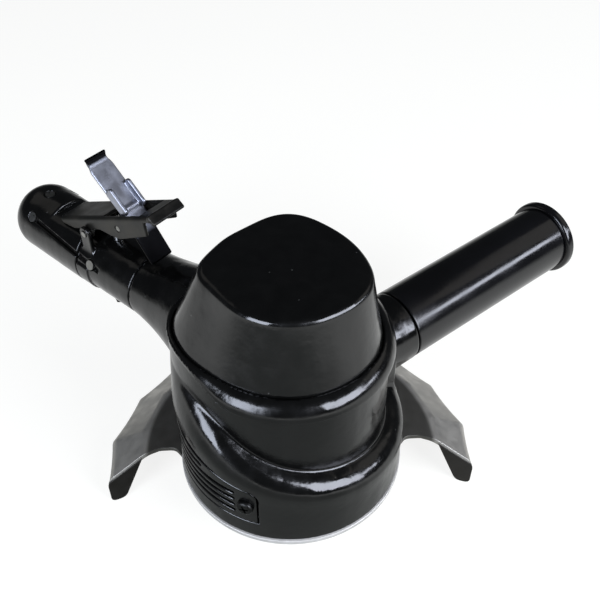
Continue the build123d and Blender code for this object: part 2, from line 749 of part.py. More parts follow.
def spindle_locknut():
    """Slotted round nut that holds the upper bearing on the spindle."""
    z = upper_bearing_z + UPPER_WIDTH
    nut = ring(LOCKNUT_R, UPPER_BORE_R, z, LOCKNUT_H)
    notch = Pos(LOCKNUT_R, 0, z) * Box(2 * LOCKNUT_NOTCH_DEPTH, LOCKNUT_NOTCH_W, LOCKNUT_H, align=UP)
    for i in range(LOCKNUT_NOTCHES):
        nut -= Rot(0, 0, i * 360 / LOCKNUT_NOTCHES) * notch
    return nut


def louvre_cover():
    """Curved cover plate with horizontal louvres and a screw hole."""
    plate = cover_blank(0, SKIRT_R - COVER_T, SKIRT_R)
    for i in range(LOUVRES):
        z = COVER_FOOT_Z + LOUVRE_FOOT + i * LOUVRE_PITCH
        to_az = LOUVRE_TO_AZ if z + LOUVRE_W < COVER_TOP_RIGHT_Z else LOUVRE_SHORT_TO_AZ
        plate -= sector(SKIRT_R - COVER_T - PAST, SKIRT_R + PAST, z - LOUVRE_W / 2, LOUVRE_W,
                        LOUVRE_FROM_AZ, to_az)
    hole_r = COVER_SCREW_R + GAP
    return plate - radial_bar(COVER_SCREW_AZ, chamber_out_r, SKIRT_R + PAST, COVER_SCREW_Z, hole_r)


def cover_screw():
    """Pan-head screw with a cross recess."""
    shank_h = SKIRT_R + SEAM - chamber_out_r
    top = shank_h + COVER_SCREW_HEAD_H
    head = Pos(0, 0, shank_h) * Cylinder(COVER_SCREW_HEAD_R, COVER_SCREW_HEAD_H, align=UP)
    head = fillet(head.faces().sort_by(Axis.Z)[-1].edges(), COVER_SCREW_HEAD_H * 0.6)
    for turn in (0, 90):
        head -= Pos(0, 0, top) * Rot(0, 0, turn + CROSS_TURN) * Box(
            COVER_SCREW_HEAD_R * 1.2, CROSS_W, 2 * CROSS_DEPTH)
    screw = head + Cylinder(COVER_SCREW_R, shank_h, align=UP)
    return Rot(0, 0, COVER_SCREW_AZ) * Pos(chamber_out_r, 0, COVER_SCREW_Z) * Rot(0, 90, 0) * screw


def muffler_pad():
    """Felt pad behind the louvres, standing on the arbor housing's flange."""
    height = COVER_TOP_RIGHT_Z - arbor_top_z - MUFFLER_HEADROOM
    return sector(chamber_out_r - muffler_t - GAP, chamber_out_r - GAP, arbor_top_z, height,
                  COVER_FROM_AZ + MUFFLER_MARGIN_AZ, LOUVRE_TO_AZ)


def guard_rim_z(step):
    """Height of the bell's rim at a fold; the folds next to the ends stand higher."""
    rise = GUARD_END_RISE if abs(step) >= GUARD_SIDE_FOLDS - 1 else 0.0
    return rise - GUARD_RIM_DROP


def guard_slope(step):
    """Angle of the bell's sloping panel below the level at a fold."""
    return atan2(GUARD_T - guard_rim_z(step), GUARD_RIM_R - GUARD_PLATE_R)


def guard_section(step):
    """Sheet section of the bell at a fold: flat plate, sloping panel and upright lip."""
    rim_z = guard_rim_z(step)
    slope = guard_slope(step)
    plate_in_r = GUARD_PLATE_R - GUARD_T * tan(slope / 2)
    rim_in_z = rim_z - GUARD_T * tan((pi / 2 - slope) / 2)
    rim_in_r = GUARD_RIM_R - GUARD_T
    start = GUARD_RING_R - PAST
    outline = make_face(Polyline(
        (start, GUARD_T), (GUARD_PLATE_R, GUARD_T), (GUARD_RIM_R, rim_z), (GUARD_RIM_R, -GUARD_LIP_DROP),
        (rim_in_r, -GUARD_LIP_DROP), (rim_in_r, rim_in_z), (plate_in_r, 0), (start, 0), close=True))
    az = 90 + step * GUARD_FOLD
    return Plane(origin=(0, 0, 0), x_dir=polar(1, az), z_dir=polar(1, az - 90)) * outline


def guard_tab():
    """Tapered tab turned down at the guard's cut end, with rounded lower corners."""
    stretch = hypot(1, GUARD_END_FLARE)
    rim_x = (GUARD_RIM_R - GUARD_T / 2) * cos(radians(GUARD_FOLD / 2))
    end = (rim_x - GUARD_END_X) * stretch
    start = (GUARD_PLATE_R + GUARD_TAB_START - GUARD_END_X) * stretch
    last = GUARD_SIDE_FOLDS
    start_z = GUARD_T / 2 - GUARD_TAB_START * tan(guard_slope(last))
    outline = make_face(Polyline(
        (start, start_z), (end, guard_rim_z(last)), (end, -GUARD_LIP_DROP),
        (end - GUARD_TAB_FOOT, -GUARD_LIP_DROP), close=True))
    outline = fillet(outline.vertices().group_by(Axis.Y)[0], GUARD_TAB_ROUND)
    cut = Plane(origin=(GUARD_END_X, GUARD_END_Y, 0), x_dir=(1, -GUARD_END_FLARE, 0),
                z_dir=(-GUARD_END_FLARE, -1, 0))
    return cut * extrude(outline, -GUARD_T)


def wheel_guard():
    """Half-bell guard in folded sheet with a full collar ring."""
    bell = loft([guard_section(step) for step in range(-GUARD_SIDE_FOLDS, GUARD_SIDE_FOLDS + 1)], ruled=True)
    reach = 2 * GUARD_RIM_R
    end_y = GUARD_END_Y - GUARD_END_FLARE * (reach - GUARD_END_X)
    front = Polyline((-reach, end_y), (-GUARD_END_X, GUARD_END_Y), (GUARD_END_X, GUARD_END_Y), (reach, end_y),
                     (reach, -reach), (-reach, -reach), close=True)
    bell -= extrude(make_face(front), reach, both=True)
    guard = bell + ring(GUARD_RING_R, GUARD_RING_IN_R, 0, GUARD_T) - disc(GUARD_RING_IN_R, -PAST, reach)
    tab = guard_tab()
    guard += tab
    guard += mirror(tab, Plane.YZ)
    notch_x = sqrt(GUARD_RING_R ** 2 - GUARD_END_Y ** 2)
    for side in (-1, 1):
        corner = Vector(side * notch_x, GUARD_END_Y, GUARD_T / 2)
        guard = fillet(guard.edges().filter_by(Axis.Z).sort_by_distance(corner)[0], GUARD_NOTCH_R)
    return Rot(0, 0, GUARD_TURN) * guard


def guard_screw_spots():
    """Places of the screws in the guard retainer."""
    return spots((RETAINER_IN_R + GUARD_RING_IN_R) / 2, GUARD_SCREWS, GUARD_SCREW_FIRST_AZ)


def guard_retainer():
    """Stepped ring under the arbor housing that the guard's collar turns on."""
    body = ring(GUARD_RING_IN_R - GAP, RETAINER_IN_R, -GAP, arbor_z + GAP)
    body += ring(GUARD_RING_IN_R + RETAINER_LIP, RETAINER_IN_R, -GAP - RETAINER_LIP_H, RETAINER_LIP_H)
    for spot in guard_screw_spots():
        body -= Pos(spot.X, spot.Y, 0) * Cylinder(GUARD_SCREW_R + GAP, cap_top_z)
    return body


def guard_screws():
    """Round-head screws that hold the retainer."""
    seat_z = -GAP - RETAINER_LIP_H
    shank_h = arbor_z + GUARD_SCREW_GRIP - seat_z
    head = Pos(0, 0, -GUARD_SCREW_HEAD_H) * Cylinder(GUARD_SCREW_HEAD_R, GUARD_SCREW_HEAD_H, align=UP)
    head -= Pos(0, 0, -GUARD_SCREW_HEAD_H) * Box(2 * GUARD_SCREW_HEAD_R, SCREW_SLOT_W, 2 * SCREW_SLOT_DEPTH)
    screw = head + Cylinder(GUARD_SCREW_R, shank_h, align=UP)
    return [Pos(spot.X, spot.Y, seat_z) * screw for spot in guard_screw_spots()]


def dead_handle_collar():
    """Collar between the housing pad and the grip, with a turned neck that enters the grip."""
    start = PAD_S + SEAM
    body = rod(DEAD, COLLAR_R, start, COLLAR_END_S - start)
    body = fillet(body.edges().filter_by(GeomType.CIRCLE).sort_by_distance(DEAD.origin)[-1], COLLAR_ROUND)
    body += rod(DEAD, grip_in_r - FIT, COLLAR_END_S - PAST, COLLAR_NECK + PAST)
    return body - rod(DEAD, STUD_R + FIT, start - PAST, COLLAR_END_S)


def dead_handle_grip():
    """Grip tube with a web inside for the stud."""
    start = COLLAR_END_S + GRIP_SEAM
    tube = rod(DEAD, GRIP_R, start, GRIP_END_S - start) - rod(DEAD, grip_in_r, 0, 2 * GRIP_END_S)
    web = rod(DEAD, grip_in_r + GRIP_WALL / 2, WEB_S, WEB_T)
    return tube + web - rod(DEAD, STUD_R + FIT, 0, GRIP_END_S)


def dead_handle_cap():
    """Flanged end cap with a shallow dome and a plug that enters the tube."""
    start = GRIP_END_S + SEAM
    body = rod(DEAD, END_FLANGE_R, start, END_FLANGE_T)
    body = fillet(body.edges().filter_by(GeomType.CIRCLE), END_FLANGE_ROUND)
    body += rod(DEAD, grip_in_r - FIT, GRIP_END_S - END_PLUG, END_PLUG + PAST)
    dome_base = END_FLANGE_R - END_DOME_INSET
    dome_r = (dome_base ** 2 + END_DOME ** 2) / (2 * END_DOME)
    dome = DEAD * Pos(0, 0, start + END_FLANGE_T + END_DOME - dome_r) * Sphere(dome_r)
    return body + (dome & rod(DEAD, dome_base, start, END_FLANGE_T + END_DOME + PAST))


def dead_handle_stud():
    """Threaded stud that ties the dead handle to the housing, with its nut inside the grip."""
    nut = DEAD * Pos(0, 0, web_end_s) * extrude(RegularPolygon(STUD_NUT_R, 6), STUD_NUT_H)
    return nut + rod(DEAD, STUD_R, STUD_FROM_S, web_end_s + STUD_NUT_H + STUD_TAIL - STUD_FROM_S)


def up_at(s, z):
    """Location on the throttle handle's middle plane with local Z pointing up."""
    spot = polar(s, THROTTLE_AZ, z)
    return Pos(spot.X, spot.Y, spot.Z)


def flank_place(s, r, rise):
    """Location on the round side of the throttle handle with local Z pointing out of it."""
    return THROTTLE * Pos(0, 0, s) * Rot(0, 0, rise) * Pos(r, 0, 0) * Rot(0, 90, 0)


def end_screw_places():
    """Places of the screws: two on each flank and one on top."""
    places = [flank_place(TOP_SCREW_S, END_R, 90)]
    for s, r, rise in ((NEAR_SCREW_S, HANDLE_R, NEAR_SCREW_RISE), (FAR_SCREW_S, END_R, FAR_SCREW_RISE)):
        places.append(flank_place(s, r, rise))
        places.append(flank_place(s, r, 180 - rise))
    return places


def end_screw(grow):
    """Round-head screw standing a little proud of the flank, grown by a margin."""
    depth = END_SCREW_DEPTH + grow
    return Pos(0, 0, -depth) * Cylinder(END_SCREW_R + grow, depth + END_SCREW_PROUD, align=UP)


def end_screws():
    """Round-head screws of the end housing."""
    return [place * end_screw(0) for place in end_screw_places()]


def flank_grooves():
    """Straight grooves along both flanks, from past the near screw to the far one."""
    grooves = []
    near_rise = radians(NEAR_SCREW_RISE)
    far_rise = radians(FAR_SCREW_RISE)
    mean_rise = (near_rise + far_rise) / 2
    for side in (1, -1):
        near = Vector(side * HANDLE_R * cos(near_rise), HANDLE_R * sin(near_rise), NEAR_SCREW_S)
        far = Vector(side * END_R * cos(far_rise), END_R * sin(far_rise), FAR_SCREW_S)
        along = (far - near).normalized()
        out = Vector(side * cos(mean_rise), sin(mean_rise), 0)
        out = out - along * out.dot(along)
        bed = Plane(origin=near - along * END_GROOVE_PAST, x_dir=along, z_dir=out)
        bar = Box((far - near).length + END_GROOVE_PAST, END_GROOVE_W, 2 * END_GROOVE_DEPTH,
                  align=(Align.MIN, Align.CENTER, Align.CENTER))
        grooves.append(THROTTLE * bed * bar)
    return grooves


def with_flank_details(body):
    """Handle piece with the flank grooves and the seats of the screws cut in."""
    for groove in flank_grooves():
        body -= groove
    for place in end_screw_places():
        body -= place * end_screw(SEAM)
    return body


def throttle_handle():
    """Handle casting: grip, spigot, air passages, valve bore and the two cheeks that hold the lever's pin."""
    start = HANDLE_S + SEAM
    body = rod(THROTTLE, HANDLE_R, start, END_S - start)
    body += rod(THROTTLE, SPIGOT_R, HANDLE_S - SPIGOT_LENGTH, SPIGOT_LENGTH + PAST)
    cheek = Pos(LEVER_PIVOT_S, LEVER_PIVOT_Z) * Circle(CHEEK_R)
    cheek += Pos(LEVER_PIVOT_S, LEVER_PIVOT_Z - CHEEK_H / 2) * Rectangle(2 * CHEEK_R, CHEEK_H)
    for side in (-1, 1):
        body += slab(THROTTLE_SIDE, cheek, CHEEK_T, side * cheek_mid)
    body -= slab(LEVER_VIEW, Circle(LEVER_PIN_R + FIT), 2 * LEVER_W)
    body -= up_at(STEM_S, 0) * Cylinder(VALVE_BORE_R + FIT, SEAT_Z + SEAT_H, align=UP)
    body -= up_at(STEM_S, 0) * Cylinder(VALVE_CHAMBER_R, SEAT_Z + SEAT_H + UPPER_CHAMBER_H, align=UP)
    body -= up_at(STEM_S, 0) * Cylinder(STEM_R + RUN, cap_top_z, align=UP)
    body -= up_at(STEM_S, ORING_Z - ORING_R) * Cylinder(STEM_R + 2 * ORING_R, 2 * ORING_R, align=UP)
    body -= rod(THROTTLE, AIR_R, STEM_S, END_S + PAST - STEM_S, y=-AIR_IN_DROP)
    out_s = HANDLE_S - SPIGOT_LENGTH - PAST
    body -= rod(THROTTLE, AIR_R, out_s, STEM_S - out_s, y=AIR_OUT_RISE)
    return with_flank_details(body)


def end_profile():
    """Round-ended outline of the end housing in (radius, distance)."""
    start = END_S + SEAM
    side = Polyline((0, END_TIP_S), (0, start), (END_R, start), (END_R, end_round_s))
    nose = TangentArc((END_R, end_round_s), (END_FACE_R, END_TIP_S), tangent=(0, 1))
    face = Line((END_FACE_R, END_TIP_S), (0, END_TIP_S))
    return make_face(side + nose + face)


def end_housing():
    """Round-nosed end housing with the air inlet, a flat under the lever's tail and flank grooves."""
    body = THROTTLE * revolve(Plane.XZ * end_profile(), Axis.Z)
    slope = radians(LEVER_SLOPE)
    tail_z = LEVER_PIVOT_Z - LEVER_TAIL * sin(slope) + (LEVER_TOP - LEVER_T) * cos(slope)
    flat_length = LEVER_TAIL + TAIL_ROOM
    flat = Pos(LEVER_PIVOT_S + flat_length / 2, tail_z - GAP + END_R) * Rectangle(flat_length, 2 * END_R)
    body -= slab(THROTTLE_SIDE, flat, LEVER_W + TAIL_ROOM)
    body -= rod(THROTTLE, INLET_OUT_R + FIT, inlet_s, INLET_LENGTH + PAST)
    body -= rod(THROTTLE, SCREEN_R, inlet_s - SCREEN_T - GAP - AIR_R, INLET_LENGTH)
    body -= rod(THROTTLE, AIR_R, END_S - PAST, inlet_s - END_S, y=-AIR_IN_DROP)
    return with_flank_details(body)


def inlet_bushing():
    """Threaded bush for the air hose fitting."""
    return rod(THROTTLE, INLET_OUT_R, inlet_s, INLET_LENGTH) - rod(THROTTLE, INLET_R, inlet_s, INLET_LENGTH)


def inlet_screen():
    """Perforated disc behind the inlet bush."""
    s = inlet_s - SCREEN_T
    body = rod(THROTTLE, SCREEN_R - FIT, s, SCREEN_T)
    for x in (-SCREEN_PITCH, 0, SCREEN_PITCH):
        for y in (-SCREEN_PITCH, 0, SCREEN_PITCH):
            body -= rod(THROTTLE, SCREEN_HOLE_R, s, SCREEN_T, x=x, y=y)
    return body


def valve_stem():
    """Push pin from the lever down to the valve ball, with a rounded head."""
    slope = radians(LEVER_SLOPE)
    arm = LEVER_PIVOT_S - STEM_S
    web_z = LEVER_PIVOT_Z + arm * tan(slope) + (LEVER_TOP - LEVER_T) / cos(slope)
    top_z = web_z - STEM_R * tan(slope) - GAP
    foot_z = ball_z + BALL_R + RUN
    pin = up_at(STEM_S, foot_z) * Cylinder(STEM_R, top_z - foot_z, align=UP)
    return fillet(pin.edges().sort_by(Axis.Z)[-1], STEM_R * 0.6)


def valve_seat():
    """Seat ring pressed into the valve bore."""
    return up_at(STEM_S, SEAT_Z) * (
        Cylinder(VALVE_BORE_R, SEAT_H, align=UP) - Cylinder(SEAT_HOLE_R, SEAT_H, align=UP))


def valve_ball():
    """Steel ball that shuts the air off."""
    return up_at(STEM_S, ball_z) * Sphere(BALL_R)


def valve_cap():
    """Screwed plug under the handle that carries the valve spring."""
    head_top_z = THROTTLE_Z - HANDLE_R - GAP
    head = up_at(STEM_S, head_top_z - CAP_HEAD_H) * extrude(RegularPolygon(CAP_HEAD_R, 6), CAP_HEAD_H)
    return head + up_at(STEM_S, head_top_z) * Cylinder(VALVE_BORE_R, CAP_PLUG_TOP_Z - head_top_z, align=UP)


def coil(radius, wire_r, height, turns):
    """Round-wire helical spring on local Z."""
    path = Helix(pitch=height / turns, height=height, radius=radius)
    return sweep(Plane(origin=path @ 0, z_dir=path % 0) * Circle(wire_r), path=path)


def valve_spring():
    """Coil spring between the valve cap and the ball."""
    foot_z = CAP_PLUG_TOP_Z + SPRING_WIRE_R + SEAM
    drop = sqrt(BALL_R ** 2 - (SPRING_R - SPRING_WIRE_R) ** 2)
    top_z = ball_z - drop - SPRING_WIRE_R
    return up_at(STEM_S, foot_z) * coil(SPRING_R, SPRING_WIRE_R, top_z - foot_z, SPRING_TURNS)


def stem_seal():
    """O-ring round the valve stem."""
    return up_at(STEM_S, ORING_Z) * Torus(STEM_R + ORING_R + RUN, ORING_R - RUN)


def lever_flange_outline():
    """Side view of the lever's flange: shallow at the tail, eared at the pivot, deep under the lock lever."""
    web_low = LEVER_TOP - LEVER_T
    outline = make_face(Polyline(
        (LEVER_TAIL, LEVER_TOP), (LEVER_TAIL, web_low), FLANGE_TAIL, FLANGE_WAIST, FLANGE_DIP, FLANGE_BELLY,
        FLANGE_HEEL, (-FLANGE_END, web_low), (-FLANGE_END, LEVER_TOP), close=True))
    return outline + Circle(LEVER_EAR_R)


def throttle_lever():
    """Pressed channel lever with a slot for the lock lever and a turned-down free end."""
    web_mid = LEVER_TOP - LEVER_T / 2
    web = Pos((LEVER_TAIL - LEVER_FREE) / 2, web_mid) * Rectangle(LEVER_TAIL + LEVER_FREE, LEVER_T)
    body = slab(LEVER_VIEW, web, LEVER_W)
    slot = Pos(-(SLOT_FROM + SLOT_TO) / 2, web_mid) * Rectangle(SLOT_TO - SLOT_FROM, 4 * LEVER_T)
    body -= slab(LEVER_VIEW, slot, LOCK_W + 2 * SLOT_CLEARANCE)
    lip = Pos(LEVER_T / 2 - LEVER_FREE, LEVER_TOP - LEVER_END_LIP / 2) * Rectangle(LEVER_T, LEVER_END_LIP)
    body += slab(LEVER_VIEW, lip, LEVER_W)
    holes = Circle(LEVER_PIN_R + RUN) + Pos(*LOCK_PIVOT) * Circle(LOCK_PIN_R + RUN)
    flange = lever_flange_outline() - holes
    for side in (-1, 1):
        body += slab(LEVER_VIEW, flange, LEVER_T, side * (LEVER_W - LEVER_T) / 2)
    return body


def lever_pin():
    """Pivot pin of the throttle lever, held in the handle's cheeks."""
    return slab(LEVER_VIEW, Circle(LEVER_PIN_R), 2 * cheek_mid + CHEEK_T + 2 * LEVER_PIN_PROUD)


def lock_ear_outline():
    """Side view of the ears folded from both edges of the lock lever's tongue."""
    base = Vector(*LOCK_BASE)
    along = (Vector(*LOCK_TIP) - base).normalized()
    inboard = Vector(-along.Y, along.X)
    low = base + along * LOCK_EAR_FROM
    high = base + along * LOCK_EAR_TO
    low_out = low + inboard * (LOCK_EAR_REACH - LOCK_EAR_R)
    high_out = high + inboard * (LOCK_EAR_REACH - LOCK_EAR_R)
    ear = make_face(Polyline(low, high, high_out, low_out, close=True))
    ear += trace(Line(low_out, high_out), 2 * LOCK_EAR_R)
    for corner in (low_out, high_out):
        ear += Pos(corner.X, corner.Y) * Circle(LOCK_EAR_R)
    return ear


def lock_lever():
    """Lock lever: a bent strip with a lipped palm tongue, folded ears, a foot over the handle and an eye."""
    path = Polyline(LOCK_LIP, LOCK_TIP, LOCK_BASE, LOCK_KNEE, LOCK_FOOT)
    body = slab(LEVER_VIEW, trace(path, LOCK_T), LOCK_W)
    for side in (-1, 1):
        body += slab(LEVER_VIEW, lock_ear_outline(), LOCK_T, side * (LOCK_W - LOCK_T) / 2)
    eye = Pos(*LOCK_PIVOT) * Circle(LOCK_HUB_R)
    tie = make_face(Polyline(LOCK_PIVOT, LOCK_BASE, LOCK_KNEE, close=True))
    body += slab(LEVER_VIEW, eye + tie, LOCK_HUB_W, (LOCK_HUB_W - LOCK_W) / 2)
    return body - slab(LEVER_VIEW, Pos(*LOCK_PIVOT) * Circle(LOCK_PIN_R + RUN), 2 * LOCK_W)


def lock_pin():
    """Pin of the lock lever through both flanges."""
    return slab(LEVER_VIEW, Pos(*LOCK_PIVOT) * Circle(LOCK_PIN_R), LEVER_W + 2 * LOCK_PIN_PROUD)


def lock_spring():
    """Torsion spring on the lock pin beside the eye."""
    room = LOCK_W - LOCK_HUB_W - 2 * GAP - 2 * LOCK_SPRING_WIRE_R
    start = LOCK_HUB_W - LOCK_W / 2 + GAP + LOCK_SPRING_WIRE_R
    place = LEVER_VIEW * Pos(LOCK_PIVOT[0], LOCK_PIVOT[1], start)
    return place * coil(LOCK_SPRING_R, LOCK_SPRING_WIRE_R, room, LOCK_SPRING_TURNS)


lower_outer, lower_inner, lower_balls = bearing(
    LOWER_BORE_R, LOWER_OUTER_R, LOWER_WIDTH, LOWER_BALL_R, lower_bearing_z)
upper_outer, upper_inner, upper_balls = bearing(
    UPPER_BORE_R, UPPER_OUTER_R, UPPER_WIDTH, UPPER_BALL_R, upper_bearing_z)

NODES = {
    "motor_housing": motor_housing(),
    "upper_housing": upper_housing(),
    "housing_gasket": housing_gasket(),
    "through_bolts": through_bolts(),
    "arbor_housing": arbor_housing(),
    "spindle_seal": spindle_seal(),
    "lower_bearing_outer_race": lower_outer,
    "lower_bearing_inner_race": lower_inner,
    "lower_bearing_balls": lower_balls,
    "upper_bearing_outer_race": upper_outer,
    "upper_bearing_inner_race": upper_inner,
    "upper_bearing_balls": upper_balls,
    "cylinder_liner": cylinder_liner(),
    "lower_end_plate": lower_end_plate(),
    "upper_end_plate": upper_end_plate(),
    "motor_dowels": motor_dowels(),
    "spindle": spindle(),
    "rotor": rotor(),
    "rotor_key": key_box(0),
    "vanes": vanes(),
    "inner_wheel_flange": inner_wheel_flange(),
    "spindle_locknut": spindle_locknut(),
    "louvre_cover": louvre_cover(),
    "cover_screw": cover_screw(),
    "muffler_pad": muffler_pad(),
    "wheel_guard": wheel_guard(),
    "guard_retainer": guard_retainer(),
    "guard_screws": guard_screws(),
    "dead_handle_collar": dead_handle_collar(),
    "dead_handle_grip": dead_handle_grip(),
    "dead_handle_cap": dead_handle_cap(),
    "dead_handle_stud": dead_handle_stud(),
    "throttle_handle": throttle_handle(),
    "end_housing": end_housing(),
    "end_screws": end_screws(),
    "inlet_bushing": inlet_bushing(),
    "inlet_screen": inlet_screen(),
    "valve_stem": valve_stem(),
    "stem_seal": stem_seal(),
    "valve_seat": valve_seat(),
    "valve_ball": valve_ball(),
    "valve_spring": valve_spring(),
    "valve_cap": valve_cap(),
    "throttle_lever": throttle_lever(),
    "lever_pin": lever_pin(),
    "lock_lever": lock_lever(),
    "lock_pin": lock_pin(),
    "lock_spring": lock_spring(),
}

for name, shape in NODES.items():
    pieces = shape if isinstance(shape, list) else [shape]
    solids = [solid for piece in pieces for solid in piece.solids()]
    export_step(Compound(children=solids), f"parts/{name}.step")
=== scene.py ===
import json

import bpy
import numpy as np
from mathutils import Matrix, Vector


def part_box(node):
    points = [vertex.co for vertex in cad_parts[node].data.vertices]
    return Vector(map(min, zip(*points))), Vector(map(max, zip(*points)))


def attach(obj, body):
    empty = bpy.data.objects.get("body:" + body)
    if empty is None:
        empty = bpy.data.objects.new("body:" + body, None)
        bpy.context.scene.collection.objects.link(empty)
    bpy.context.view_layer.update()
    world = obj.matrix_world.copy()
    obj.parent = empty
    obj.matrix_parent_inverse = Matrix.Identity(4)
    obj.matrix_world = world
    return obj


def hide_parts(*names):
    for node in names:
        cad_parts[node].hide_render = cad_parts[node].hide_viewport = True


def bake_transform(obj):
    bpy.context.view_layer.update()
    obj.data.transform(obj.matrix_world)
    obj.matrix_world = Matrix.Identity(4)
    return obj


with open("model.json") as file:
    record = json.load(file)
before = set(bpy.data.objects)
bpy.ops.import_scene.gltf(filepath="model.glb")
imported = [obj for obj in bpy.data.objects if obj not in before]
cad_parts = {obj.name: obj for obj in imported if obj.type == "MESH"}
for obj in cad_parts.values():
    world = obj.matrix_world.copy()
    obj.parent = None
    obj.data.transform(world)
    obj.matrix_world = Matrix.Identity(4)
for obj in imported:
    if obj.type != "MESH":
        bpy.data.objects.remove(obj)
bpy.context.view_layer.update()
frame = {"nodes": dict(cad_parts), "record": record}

# Vertical air grinder. Sizes are millimetres in the part's own frame; a mesh is written in metres.
MM = 0.001
UP = np.array([0.0, 0.0, 1.0])

# Small values that keep a test or a division off zero
TINY = 1e-3
NEVER_ZERO = 1e-6

# Motor housing casting. FILLET: width over which two shapes run together. EDGE: width of a rounded edge.
SKIRT_R = 55.0
SKIRT_FOOT = 2.8
SKIRT_EDGE = 1.0
SKIRT_BULGE = 0.4
SKIRT_BULGE_H = 7.0
SKIRT_FILLET = 1.6
SHOULDER_DEPTH = 10.0
SHOULDER_FADE = 0.85
SHOULDER_LOW = 8.5
SHOULDER_GAIN = 12.0
SCROLL_Z = 46.0
SCROLL_RISE = 16.0
SCROLL_BOW = 12.0
SCROLL_TWIST = 8.0
SCROLL_TOP = 75.0
SCROLL_LEVELLING = 16.0
MID_R = 45.3
MID_FLARE = 0.6
MID_FOOT = 11.8
SWELL_AZ = 176.0
SWELL_RISE = 9.0
SWELL_WIDTH = 34.0
BEAD_TOP = 88.63
BEAD_R = 8.4
BEAD_UNDER = 2.2
BEAD_PROUD = 2.4
BEAD_END_AZ = 64.0
BEAD_END_SPAN = 36.0
BEAD_FILLET = 1.2
RIM_R = 1.2
RIM_RISE = 3.0
BORE_R = 38.0
ARBOR_R = 52.02
ARBOR_EDGE = 0.5
CHAMBER_R = (41.0, 50.5)
CHAMBER_Z = (10.8, 28.0)
LEDGE_Z = 82.0
LEDGE_GAP = 0.3
LEDGE_EDGE = 0.9

# Upper housing
CAP_Z = 82.7
CAP_H = 41.0
CAP_FOOT_R = 41.4
CAP_TOP_R = 32.2
CAP_INSET = 1.7
CAP_INSET_FILLET = 2.0
CAP_WALL = 4.5
CAP_ROOF = 5.0
CAP_EDGE = 2.2
CAP_CROWN = 0.5
# Soft corners: azimuth, rise at foot and top, and spread at foot and top
CAP_CORNERS = (
    (179.5, 14.0, 5.2, 36.0, 19.0),
    (148.0, 0.0, 2.0, 20.0, 20.0),
    (92.0, 5.0, 5.0, 28.0, 27.0),
    (343.0, 1.0, 3.4, 25.0, 28.0),
)
# Mesh of the upper housing; rings are shares of the radius round the roof and the ceiling
CAP_COLUMNS = 240
CAP_WALL_ROWS = 24
CAP_EDGE_ROWS = 9
CAP_INNER_ROWS = 6
CAP_ROOF_RINGS = (0.985, 0.95, 0.85, 0.7, 0.5, 0.3, 0.12)
CAP_CEILING_RINGS = (0.1, 0.6)

# Louvre cover and the vent slot above it, from left to right
COVER_AZ = (196.0, 254.5)
COVER_FOOT = 14.0
COVER_TOP = (43.0, 36.0)
COVER_T = 2.4
COVER_CORNER = 4.0
COVER_GROOVE = 0.6
COVER_GAP = 0.15
COVER_LAP = 3.5
COVER_SEAT_EDGE = 0.7
VENT_TOP = 48.0
VENT_TIP_AZ = 240.0
VENT_DEPTH = 7.0
LOUVRE_AZ = (201.0, 243.0)
LOUVRE_SHORT_AZ = 223.0
LOUVRE_FOOT = 19.0
LOUVRE_PITCH = 4.6
LOUVRE_W = 2.0
LOUVRE_EDGE = 0.9
LOUVRES = 5

# Dead handle, by distance along its axis from the spindle
DEAD_AZ = 38.3
DEAD_Z = 46.5
PAD_R = 20.5
PAD_FACE = 50.0
PAD_DROP = 22.5
PAD_BACK = 1.5
PAD_EDGE = 1.0
PAD_FILLET = 2.5
COLLAR_R = 18.6
COLLAR = (50.15, 67.5)
COLLAR_EDGE = 1.4
COLLAR_GAP = 0.3
COLLAR_SEAT_EDGE = 0.6
COLLAR_PLUG = 9.0
PLUG_GAP = 0.1
GRIP_R = 18.4
GRIP_IN_R = 15.4
GRIP = (68.1, 179.0)
GRIP_EDGE = 0.8
END_FLANGE_R = 20.7
END_FLANGE = (179.15, 184.15)
END_FLANGE_EDGE = 2.2
END_FLANGE_STEPS = 8
END_DOME_R = 18.0
END_DOME = 3.0
END_DOME_STEP = 0.3
END_DOME_ROWS = 14
END_DOME_POLE = 0.04
END_PLUG = 10.0
END_PLUG_POLE = 0.5
STUD_R = 6.02
STUD_FROM = 41.2

# Throttle handle, by distance along its axis from the spindle
THROTTLE_AZ = 140.0
THROTTLE_Z = 60.0
ROOT = (36.0, 92.0)
ROOT_RUN_IN = 1.2
# Terms of a quadratic over the root's length: value at its middle, slope and bend
ROOT_Z = (58.5, 4.0, -2.5)
ROOT_HALF_W = (21.5, -6.25, 2.25)
ROOT_HALF_H = (25.5, -12.75, 4.75)
ROOT_EDGE = 1.2
ROOT_FILLET = 7.0
HANDLE_R = 17.5
HANDLE = (92.15, 132.0)
HANDLE_EDGE = 0.8
SPIGOT_R = 12.0
SPIGOT = (80.0, 100.0)
SPIGOT_GAP = 0.1
SPIGOT_END_GAP = 0.3
END = (132.15, 189.0)
END_R = 18.4
END_EDGE = 0.8
END_ROUND_S = 176.0
END_ARC_R = 15.7
NOSE_LIFT = 0.9
NOSE_LIFT_S = (140.0, 170.0)
INLET_R = 10.02
INLET_FROM = 164.0
HOLE_EDGE = 0.5
